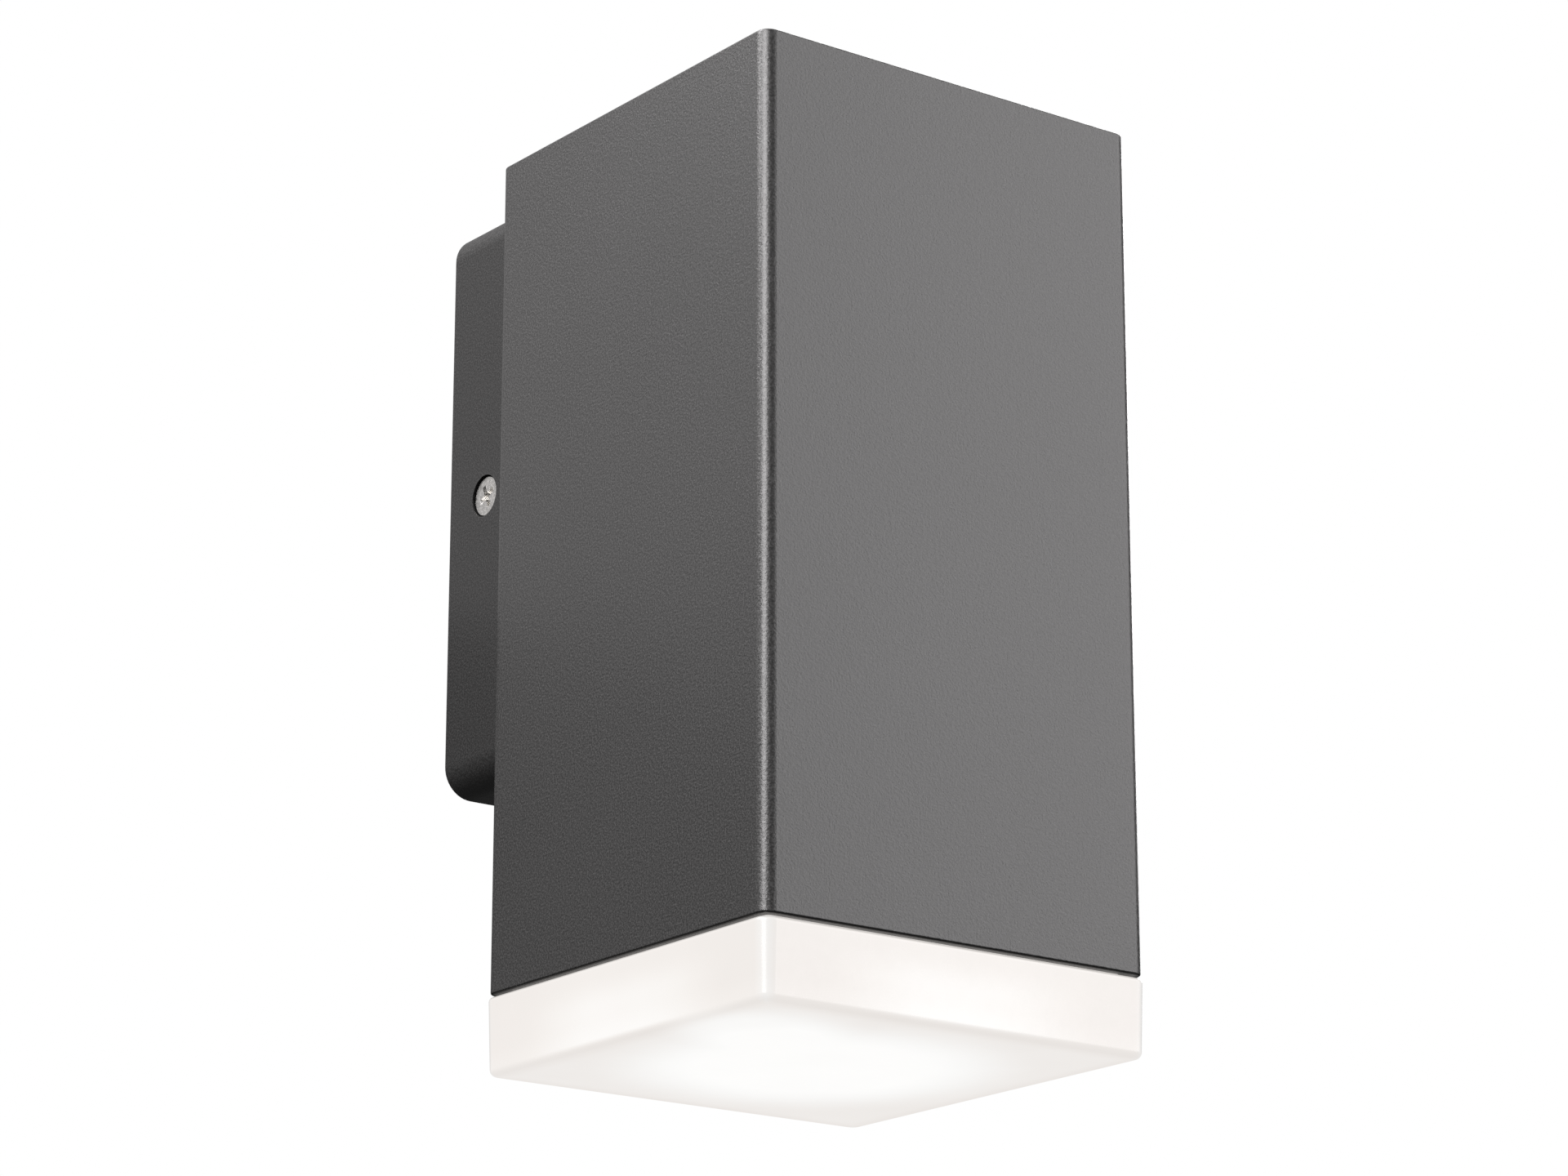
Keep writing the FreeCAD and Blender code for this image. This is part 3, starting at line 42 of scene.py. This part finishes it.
class Look:
    """A node material with one Principled shader, and short ways to feed it."""

    def __init__(self, name, roughness=0.5, metallic=0.0, **sockets):
        self.material = bpy.data.materials.new(name)
        self.material.use_nodes = True
        self.tree = self.material.node_tree
        self.tree.nodes.clear()
        output = self.tree.nodes.new("ShaderNodeOutputMaterial")
        self.shader = self.tree.nodes.new("ShaderNodeBsdfPrincipled")
        self.link(self.shader.outputs["BSDF"], output.inputs["Surface"])
        self.shader.inputs["Roughness"].default_value = roughness
        self.shader.inputs["Metallic"].default_value = metallic
        for socket, value in sockets.items():
            self.shader.inputs[socket.replace("_", " ")].default_value = value
        self.place = self.tree.nodes.new("ShaderNodeTexCoord")

    def link(self, start, end):
        self.tree.links.new(start, end)

    def feed(self, socket, value):
        """A socket's value: another node's output, or a constant."""
        if isinstance(value, bpy.types.NodeSocket):
            self.link(value, socket)
        else:
            socket.default_value = value

    def to_shader(self, socket, value):
        self.feed(self.shader.inputs[socket], value)

    def coords(self, offset=(0, 0, 0), stretch=(1, 1, 1)):
        """Object coordinates in metres, measured from offset, then stretched."""
        mapping = self.tree.nodes.new("ShaderNodeMapping")
        mapping.vector_type = "TEXTURE"
        mapping.inputs["Location"].default_value = offset
        mapping.inputs["Scale"].default_value = [1 / factor for factor in stretch]
        self.link(self.place.outputs["Object"], mapping.inputs["Vector"])
        return mapping.outputs["Vector"]

    def noise(self, scale, detail=3.0, roughness=0.5, vector=None):
        node = self.tree.nodes.new("ShaderNodeTexNoise")
        node.inputs["Scale"].default_value = scale
        node.inputs["Detail"].default_value = detail
        node.inputs["Roughness"].default_value = roughness
        self.link(vector or self.place.outputs["Object"], node.inputs["Vector"])
        return node.outputs["Fac"]

    def cells(self, scale, feature="F1", vector=None, randomness=1.0):
        node = self.tree.nodes.new("ShaderNodeTexVoronoi")
        node.feature = feature
        node.inputs["Randomness"].default_value = randomness
        node.inputs["Scale"].default_value = scale
        self.link(vector or self.place.outputs["Object"], node.inputs["Vector"])
        return node.outputs["Distance"]

    def remap(self, value, low, high, to_low, to_high):
        node = self.tree.nodes.new("ShaderNodeMapRange")
        self.feed(node.inputs["Value"], value)
        node.inputs["From Min"].default_value = low
        node.inputs["From Max"].default_value = high
        node.inputs["To Min"].default_value = to_low
        node.inputs["To Max"].default_value = to_high
        return node.outputs["Result"]

    def smooth(self, value, low, high, to_low=0.0, to_high=1.0):
        """As remap, but easing in and out. Outside low and high the value stays at the ends."""
        result = self.remap(value, low, high, to_low, to_high)
        result.node.interpolation_type = "SMOOTHSTEP"
        return result

    def compute(self, operation, first, second=0.0):
        node = self.tree.nodes.new("ShaderNodeMath")
        node.operation = operation
        self.feed(node.inputs[0], first)
        self.feed(node.inputs[1], second)
        return node.outputs["Value"]

    def axis(self, name, vector=None):
        node = self.tree.nodes.new("ShaderNodeSeparateXYZ")
        self.link(vector or self.place.outputs["Object"], node.inputs["Vector"])
        return node.outputs[name]

    def times(self, first, second):
        return self.compute("MULTIPLY", first, second)

    def plus(self, first, *others):
        for other in others:
            first = self.compute("ADD", first, other)
        return first

    def length(self, first, second):
        """Length of the flat vector with these two components."""
        return self.compute(
            "SQRT", self.plus(self.times(first, first), self.times(second, second)))

    def distance_from(self, vector, x=0.0, y=0.0):
        """Distance from the upright line through x, y."""
        return self.length(
            self.compute("SUBTRACT", self.axis("X", vector), x),
            self.compute("SUBTRACT", self.axis("Y", vector), y))

    def screw_distance(self):
        """Distance from the axis of the side screws."""
        here = self.coords(offset=(0, screw_axis_y, 0))
        return self.length(self.axis("Y", here), self.axis("Z", here))

    def from_body_axis(self):
        """Object coordinates measured from the body's upright axis, and |x| and |y| of them."""
        here = self.coords(offset=(body_centre.x, body_centre.y, 0))
        across = self.compute("ABSOLUTE", self.axis("X", here))
        along = self.compute("ABSOLUTE", self.axis("Y", here))
        return here, across, along

    def blend(self, factor, first, second):
        node = self.tree.nodes.new("ShaderNodeMix")
        node.data_type = "RGBA"
        self.feed(node.inputs["Factor"], factor)
        self.feed(node.inputs["A"], rgba(first))
        self.feed(node.inputs["B"], rgba(second))
        return node.outputs["Result"]

    def bump(self, height, distance, strength=1.0):
        """Raise the surface by height times distance, on top of any bump made before."""
        node = self.tree.nodes.new("ShaderNodeBump")
        node.inputs["Strength"].default_value = strength
        node.inputs["Distance"].default_value = distance
        self.link(height, node.inputs["Height"])
        normal = self.shader.inputs["Normal"]
        if normal.links:
            self.link(normal.links[0].from_socket, node.inputs["Normal"])
        self.link(node.outputs["Normal"], normal)

    def facing(self):
        """0 where the surface faces the viewer, 1 where it turns away."""
        node = self.tree.nodes.new("ShaderNodeLayerWeight")
        return node.outputs["Facing"]

    def edges(self, radius):
        """How far the rounded normal turns from the true one: 0 on flats, towards 1 on edges."""
        bevel = self.tree.nodes.new("ShaderNodeBevel")
        bevel.samples = 6
        bevel.inputs["Radius"].default_value = radius
        geometry = self.tree.nodes.new("ShaderNodeNewGeometry")
        turn = self.tree.nodes.new("ShaderNodeVectorMath")
        turn.operation = "DOT_PRODUCT"
        self.link(bevel.outputs["Normal"], turn.inputs[0])
        self.link(geometry.outputs["Normal"], turn.inputs[1])
        return self.remap(turn.outputs["Value"], 1.0, 0.75, 0.0, 1.0)


def rgba(colour):
    """A colour with its alpha, or another node's output as it is."""
    if isinstance(colour, bpy.types.NodeSocket):
        return colour
    return (*colour, 1.0) if len(colour) == 3 else colour


def shaded(colour, factor):
    return tuple(channel * factor for channel in colour)


def tinted(look, colour, scale, spread=0.1, detail=3.0):
    """The colour with a soft mottle of plus and minus spread."""
    mottle = look.noise(scale, detail)
    return look.blend(mottle, shaded(colour, 1 - spread), shaded(colour, 1 + spread))


# ---- Materials ---------------------------------------------------------------------------------

COAT_DARK = (0.0165, 0.0163, 0.0162)
COAT_LIGHT = (0.021, 0.0208, 0.0207)
COAT_FLECK = (0.062, 0.0615, 0.061)
# Light grey for the painted highlight on the coat's rounded edges.
COAT_EDGE_HIGHLIGHT = (0.2, 0.2, 0.2)
COAT_IN_SHADE = (0.006, 0.006, 0.006)


def powder_coat(name, shade=1.0, ior=1.58, painted_shade_mask=None):
    """Anthracite powder coat with a fine, sandy texture and a painted highlight on its edges. Where
    the mask function gives 1, the coat is painted dark and dull as painted shade; a shade below 1
    darkens the whole coat as painted shade.
    """
    look = Look(name, IOR=ior)
    grain = look.noise(3000, 2.5, 0.6)
    pebble = look.cells(2100, "SMOOTH_F1")
    broad = look.noise(28, 2.0)
    base = look.blend(broad, shaded(COAT_DARK, shade), shaded(COAT_LIGHT, shade))
    fleck = look.smooth(grain, 0.38, 0.68, 0.0, 0.5)
    colour = look.blend(fleck, base, shaded(COAT_FLECK, shade))
    # Painted highlight: the rounded edges are lightened in patches towards a light grey.
    edge_highlight = look.times(look.edges(0.5 * MM), look.noise(420, 3.0))
    colour = look.blend(look.times(edge_highlight, 0.3), colour, COAT_EDGE_HIGHLIGHT)
    # Painted shade: where the mask is 1 the coat turns dark and loses its shine.
    if painted_shade_mask:
        shade_amount = painted_shade_mask(look)
        colour = look.blend(shade_amount, colour, COAT_IN_SHADE)
        look.to_shader("Specular IOR Level", look.remap(shade_amount, 0.0, 1.0, 0.5, 0.04))
    look.to_shader("Base Color", colour)
    look.to_shader("Roughness", look.remap(grain, 0.3, 0.7, 0.30, 0.44))
    look.bump(pebble, 0.03 * MM, 0.7)
    look.bump(grain, 0.045 * MM, 0.85)
    return look.material


def rim_gap_shade(look):
    """Painted shade mask: the tube's lower end, in the dark gap above the diffuser."""
    _, across, along = look.from_body_axis()
    far = look.compute("MAXIMUM", across, along)
    low = look.smooth(look.axis("Z"), tube_low.z + 0.25 * MM, tube_low.z + 0.08 * MM)
    return look.times(low, look.smooth(far, 38.9 * MM, 39.4 * MM))


def screw_seat_shade(look):
    """Painted shade mask: the canopy's countersinks, in the shade of the screw heads."""
    return look.smooth(look.screw_distance(), 4.0 * MM, 3.8 * MM)


def opal():
    """Lit opal acrylic: brightest where the lamp shines on it, softer at the corners and rims."""
    look = Look("opal", IOR=1.36, Base_Color=(0.05, 0.049, 0.047, 1))
    here, across, along = look.from_body_axis()
    height = look.axis("Z", here)
    far = look.compute("MAXIMUM", across, along)
    near = look.compute("MINIMUM", across, along)

    # On the floor: a bright disc below the lamp, a smaller one towards the front left corner,
    # and a duller border.
    disc = look.smooth(look.distance_from(here), 40 * MM, 17 * MM, 0.0, 0.13)
    border = look.smooth(far, 35 * MM, 40 * MM, 0.0, -0.04)
    spill_reach = look.distance_from(here, -27 * MM, -21 * MM)
    spill = look.smooth(spill_reach, 19 * MM, 5 * MM, 0.0, 0.09)
    on_floor = look.compute("MINIMUM", look.plus(disc, border, spill, 0.84), 0.965)

    # On the walls: a bright patch at mid length below the tube, and a painted highlight along the
    # upright corner edges.
    middle = look.smooth(near, 32 * MM, 6 * MM, 0.0, 0.085)
    below_tube = look.smooth(height, tube_low.z - 8 * MM, tube_low.z - 2 * MM, 1.0, 0.25)
    corner_highlight = look.smooth(near, 37 * MM, 40 * MM, 0.0, 0.035)
    lower = look.smooth(height, floor_of_cup + 5 * MM, floor_of_cup + MM, 0.0, 0.02)
    turned_away = look.smooth(look.facing(), 0.5, 0.95, 1.0, 0.72)
    on_walls = look.times(
        look.plus(look.times(middle, below_tube), corner_highlight, lower, 0.785), turned_away)

    is_wall = look.smooth(height, floor_of_cup + 0.3 * MM, floor_of_cup + 1.4 * MM)
    is_floor = look.compute("SUBTRACT", 1.0, is_wall)
    cloud = look.remap(look.noise(60, 2.0), 0.3, 0.7, -0.006, 0.006)
    glow = look.plus(look.times(is_wall, on_walls), look.times(is_floor, on_floor), cloud)
    # Painted shade: surfaces that face up, in the gap under the tube, keep only 70 % of their glow.
    upward = look.axis("Z", look.place.outputs["Normal"])
    glow = look.times(glow, look.smooth(upward, 0.3, 0.8, 1.0, 0.7))
    look.to_shader("Emission Strength", glow)

    # The glow is warmer where it is dimmer; the upright corner edges stay cooler, a painted
    # reflection of the white lights.
    warmth = look.times(
        look.smooth(glow, 0.95, 0.78), look.smooth(near, 37 * MM, 40 * MM, 1.0, 0.2))
    look.to_shader("Emission Color", look.blend(warmth, (1.0, 0.995, 0.985), (1.0, 0.955, 0.92)))
    look.bump(look.noise(160, 2.0), 0.02 * MM, 0.2)
    look.to_shader("Roughness", look.remap(look.noise(700, 2.0), 0.3, 0.7, 0.26, 0.32))
    return look.material


def satin_steel():
    """Plated steel with the faint lines that rolling leaves."""
    look = Look("satin_steel", metallic=1.0)
    lines = look.noise(900, 3.0, 0.6, look.coords(stretch=(1, 1, 0.05)))
    look.to_shader("Base Color", tinted(look, (0.60, 0.605, 0.61), 60, 0.08))
    look.to_shader("Roughness", look.remap(lines, 0.3, 0.7, 0.28, 0.45))
    look.bump(lines, 0.01 * MM, 0.5)
    look.bump(look.noise(3000, 2.0), 0.006 * MM, 0.4)
    return look.material


def turned_steel():
    """The side screws' satin heads, with fine rings from the lathe round their axis."""
    look = Look("turned_steel", metallic=1.0)
    ring_pitch = 0.16 * MM
    rings = look.compute("SINE", look.times(look.screw_distance(), 2 * math.pi / ring_pitch))
    look.to_shader("Base Color", tinted(look, (0.70, 0.69, 0.67), 500, 0.07))
    look.to_shader("Roughness", look.remap(look.noise(1800, 3.0), 0.3, 0.7, 0.26, 0.42))
    look.bump(rings, 0.003 * MM, 0.6)
    look.bump(look.noise(2200, 3.0), 0.01 * MM, 0.5)
    return look.material


def coloured_metal(name, colour, low=0.22, high=0.42):
    """Brass, nickel or tinned copper: slightly mottled, with tiny scratches."""
    look = Look(name, metallic=1.0)
    look.to_shader("Base Color", tinted(look, colour, 180, 0.12))
    scratches = look.noise(2500, 4.0, 0.7, look.coords(stretch=(1, 0.2, 1)))
    look.to_shader("Roughness", look.remap(scratches, 0.3, 0.7, low, high))
    look.bump(scratches, 0.008 * MM, 0.5)
    return look.material


def rubber(name, colour, roughness=0.7):
    """Moulded rubber or silicone with a dull, finely pitted skin."""
    look = Look(name, roughness=roughness)
    look.to_shader("Base Color", tinted(look, colour, 120, 0.15))
    dullness = look.remap(look.noise(800, 3.0), 0.3, 0.7, roughness - 0.1, roughness + 0.1)
    look.to_shader("Roughness", dullness)
    look.bump(look.noise(1600, 3.0), 0.03 * MM, 0.6)
    return look.material


def foam():
    """Closed-cell foam strip: open pores on its cut faces."""
    look = Look("foam", roughness=0.95)
    pores = look.cells(1100)
    # Painted shade: the pores are darker towards their centres.
    pore_shading = look.smooth(pores, 0.0, 0.5)
    look.to_shader("Base Color", look.blend(pore_shading, (0.05, 0.05, 0.052), (0.16, 0.16, 0.165)))
    look.bump(pores, 0.25 * MM, 0.8)
    return look.material


def moulded(name, colour, roughness=0.4, grain=1200, depth=0.012):
    """Moulded plastic with a faint spark-eroded grain."""
    look = Look(name, roughness=roughness, IOR=1.5)
    look.to_shader("Base Color", tinted(look, colour, 70, 0.05))
    texture = look.noise(grain, 3.0)
    look.to_shader("Roughness", look.remap(texture, 0.3, 0.7, roughness - 0.08, roughness + 0.08))
    look.bump(texture, depth * MM, 0.6)
    return look.material


def earth_insulation():
    """Green lead insulation with yellow stripes along its length."""
    look = Look("earth_insulation", roughness=0.4)
    sideways = look.compute("ABSOLUTE", look.axis("X", look.place.outputs["Normal"]))
    stripe = look.smooth(sideways, 0.55, 0.62)
    look.to_shader("Base Color", look.blend(stripe, (0.05, 0.30, 0.05), (0.80, 0.66, 0.03)))
    look.bump(look.noise(900, 3.0), 0.01 * MM, 0.5)
    return look.material


def ceramic():
    """Unglazed steatite: cream, with fine dark specks."""
    look = Look("ceramic", roughness=0.62)
    specks = look.smooth(look.cells(900), 0.12, 0.0, 0.0, 0.5)
    cream = tinted(look, (0.74, 0.70, 0.63), 150, 0.05)
    look.to_shader("Base Color", look.blend(specks, cream, (0.35, 0.30, 0.24)))
    look.bump(look.noise(1500, 4.0), 0.03 * MM, 0.7)
    look.to_shader("Roughness", look.remap(look.noise(400, 2.0), 0.3, 0.7, 0.55, 0.72))
    return look.material


def lamp_lens():
    """The lamp's frosted front, with a grid of small lenses lit from behind."""
    look = Look("lamp_lens", roughness=0.3, Base_Color=(0.85, 0.84, 0.80, 1))
    lenses = look.cells(420, vector=look.coords(stretch=(1, 1, 0.01)), randomness=0.12)
    look.to_shader("Emission Color", (1.0, 0.90, 0.74, 1))
    look.to_shader("Emission Strength", look.smooth(lenses, 0.75, 0.45, 0.62, 1.0))
    look.bump(lenses, 0.4 * MM, 0.7)
    return look.material


def board():
    """White solder resist over a faint pattern of copper."""
    look = Look("board", roughness=0.35)
    tracks = look.smooth(look.cells(160, "DISTANCE_TO_EDGE"), 0.05, 0.09)
    look.to_shader("Base Color", look.blend(tracks, (0.60, 0.58, 0.52), (0.78, 0.78, 0.75)))
    look.bump(tracks, 0.03 * MM, 0.6)
    return look.material


def phosphor():
    """The LEDs' yellow phosphor, lit."""
    look = Look("phosphor", roughness=0.3)
    look.to_shader("Base Color", tinted(look, (0.80, 0.62, 0.16), 700, 0.1))
    look.to_shader("Emission Color", (1.0, 0.86, 0.60, 1))
    look.to_shader("Emission Strength", look.remap(look.noise(900, 2.0), 0.3, 0.7, 2.5, 3.5))
    look.bump(look.noise(1500, 2.0), 0.02 * MM, 0.5)
    return look.material


def circuit():
    """Green circuit board with lighter tracks."""
    look = Look("circuit", roughness=0.35)
    tracks = look.smooth(look.cells(420, "DISTANCE_TO_EDGE"), 0.08, 0.14)
    look.to_shader("Base Color", look.blend(tracks, (0.10, 0.42, 0.20), (0.03, 0.20, 0.09)))
    look.bump(tracks, 0.03 * MM, 0.6)
    return look.material


def dress(material, *names):
    """Give CAD nodes a material, on every one of their slots."""
    for name in names:
        for slot in nodes[name].material_slots:
            slot.material = material


dress(powder_coat("powder_coat"), "top_cap")
dress(powder_coat("tube_coat", painted_shade_mask=rim_gap_shade), "housing_tube")
# The canopy's coat is a darker, less shiny copy of the tube's coat: painted shade for the dimmer
# light near the wall, plus painted shade in the screw countersinks.
dress(powder_coat("canopy_coat_painted_shade", 0.65, 1.42, screw_seat_shade), "wall_canopy")
dress(opal(), "diffuser")
dress(turned_steel(), "side_screws")
dress(
    satin_steel(), "wall_bracket", "lampholder_bracket", "housing_screws", "housing_nuts",
    "lampholder_screws", "lampholder_nuts", "terminal_screws", "terminal_block_screws",
)
dress(
    rubber("black_rubber", (0.022, 0.022, 0.024)), "wire_grommet", "cable_inlet_grommet",
    "housing_gasket", "top_cap_seal",
)
dress(rubber("clear_silicone", (0.62, 0.61, 0.58), 0.45), "diffuser_gasket")
dress(foam(), "wall_gasket")
dress(moulded("terminal_plastic", (0.62, 0.60, 0.54)), "terminal_block")
dress(coloured_metal("brass", (0.72, 0.52, 0.22)), "terminal_sleeves", "earth_screw")
dress(coloured_metal("tinned_copper", (0.66, 0.65, 0.62)), "earth_lug")
dress(coloured_metal("nickel", (0.68, 0.65, 0.58), 0.15, 0.3), "lamp_pins", "lampholder_contacts")
dress(moulded("brown_insulation", (0.13, 0.05, 0.025), 0.38, 900), "live_lead")
dress(moulded("blue_insulation", (0.02, 0.10, 0.42), 0.38, 900), "neutral_lead")
dress(earth_insulation(), "earth_lead")
dress(ceramic(), "lampholder_body")
dress(moulded("lamp_plastic", (0.78, 0.78, 0.76), 0.32), "lamp_base")
dress(moulded("lamp_shell_paint", (0.74, 0.74, 0.73), 0.42, 700, 0.02), "lamp_shell")
dress(lamp_lens(), "lamp_lens")
dress(board(), "led_board")
dress(phosphor(), "led_chips")
dress(circuit(), "driver_board")


# ---- Studio --------------------------------------------------------------------------------------

def pale_floor():
    look = Look(
        "floor", roughness=0.8, Emission_Color=(1.0, 1.0, 0.99, 1), Emission_Strength=0.58)
    look.to_shader("Base Color", tinted(look, (0.45, 0.45, 0.445), 3, 0.02))
    return look.material


def make_floor():
    """A pale floor well below the lantern, which hangs on a wall."""
    half = 6.0
    level = -0.9
    mesh = bpy.data.meshes.new("floor")
    corners = [(half * x, half * y, level) for x, y in ((-1, -1), (1, -1), (1, 1), (-1, 1))]
    mesh.from_pydata(corners, [], [(0, 1, 2, 3)])
    floor = bpy.data.objects.new("floor", mesh)
    floor.data.materials.append(pale_floor())
    bpy.context.collection.objects.link(floor)
    floor.visible_diffuse = False
    floor.visible_glossy = False


LIGHT_TINT = (1.0, 0.98, 0.986)
# Soft boxes: name, place, width, height, power in watts and the point they face.
SOFT_BOXES = [
    ("right_box", (1.1, -1.15, 0.5), 1.1, 1.4, 19, body_centre),
    ("left_box", (-1.28, -0.68, 0.61), 0.9, 1.05, 36, body_centre),
    ("high_left_box", (-0.53, 0.15, 0.575), 0.33, 0.385, 11, body_centre),
    ("top_box", (0.0, -0.2, 1.6), 1.6, 1.4, 3, body_centre),
    ("right_rear_box", (1.15, 0.75, 0.75), 0.9, 0.9, 26, body_centre),
    ("wall_glow", (0.0, 0.03, 0.24), 0.8, 0.5, 0.4, (0.0, -1.0, 0.24)),
]


def make_lights():
    for name, place, width, height, power, aim in SOFT_BOXES:
        light = bpy.data.lights.new(name, "AREA")
        light.shape = "RECTANGLE"
        light.size = width
        light.size_y = height
        light.energy = power
        light.color = LIGHT_TINT
        lamp = bpy.data.objects.new(name, light)
        lamp.location = place
        direction = Vector(aim) - Vector(place)
        lamp.rotation_euler = direction.to_track_quat("-Z", "Y").to_euler()
        lamp.visible_camera = False
        bpy.context.collection.objects.link(lamp)


def make_world():
    """White to the camera, and a dim even sky for everything else."""
    world = bpy.data.worlds.new("studio")
    world.use_nodes = True
    tree = world.node_tree
    tree.nodes.clear()
    output = tree.nodes.new("ShaderNodeOutputWorld")
    seen = tree.nodes.new("ShaderNodeBackground")
    seen.inputs["Color"].default_value = (1.0, 1.0, 1.0, 1)
    dim = tree.nodes.new("ShaderNodeBackground")
    dim.inputs["Strength"].default_value = 0.10
    path = tree.nodes.new("ShaderNodeLightPath")
    chosen = tree.nodes.new("ShaderNodeMixShader")
    tree.links.new(path.outputs["Is Camera Ray"], chosen.inputs["Fac"])
    tree.links.new(dim.outputs["Background"], chosen.inputs[1])
    tree.links.new(seen.outputs["Background"], chosen.inputs[2])
    tree.links.new(chosen.outputs["Shader"], output.inputs["Surface"])
    bpy.context.scene.world = world


def make_camera():
    """Low on the left, looking up at the lantern's left and front faces."""
    azimuth = math.radians(-36.93)
    elevation = math.radians(-17.11)
    lens = bpy.data.cameras.new("camera")
    lens.sensor_width = 36
    lens.lens = 108.4
    lens.clip_start = 0.01
    camera = bpy.data.objects.new("camera", lens)
    back = Vector((
        math.sin(azimuth) * math.cos(elevation),
        -math.cos(azimuth) * math.cos(elevation),
        math.sin(elevation),
    ))
    camera.location = (-0.4754, -0.6864, -0.2650)
    camera.rotation_euler = back.to_track_quat("Z", "Y").to_euler()
    bpy.context.collection.objects.link(camera)
    bpy.context.scene.camera = camera


make_floor()
make_lights()
make_world()
make_camera()
bpy.context.scene.view_settings.view_transform = "Standard"
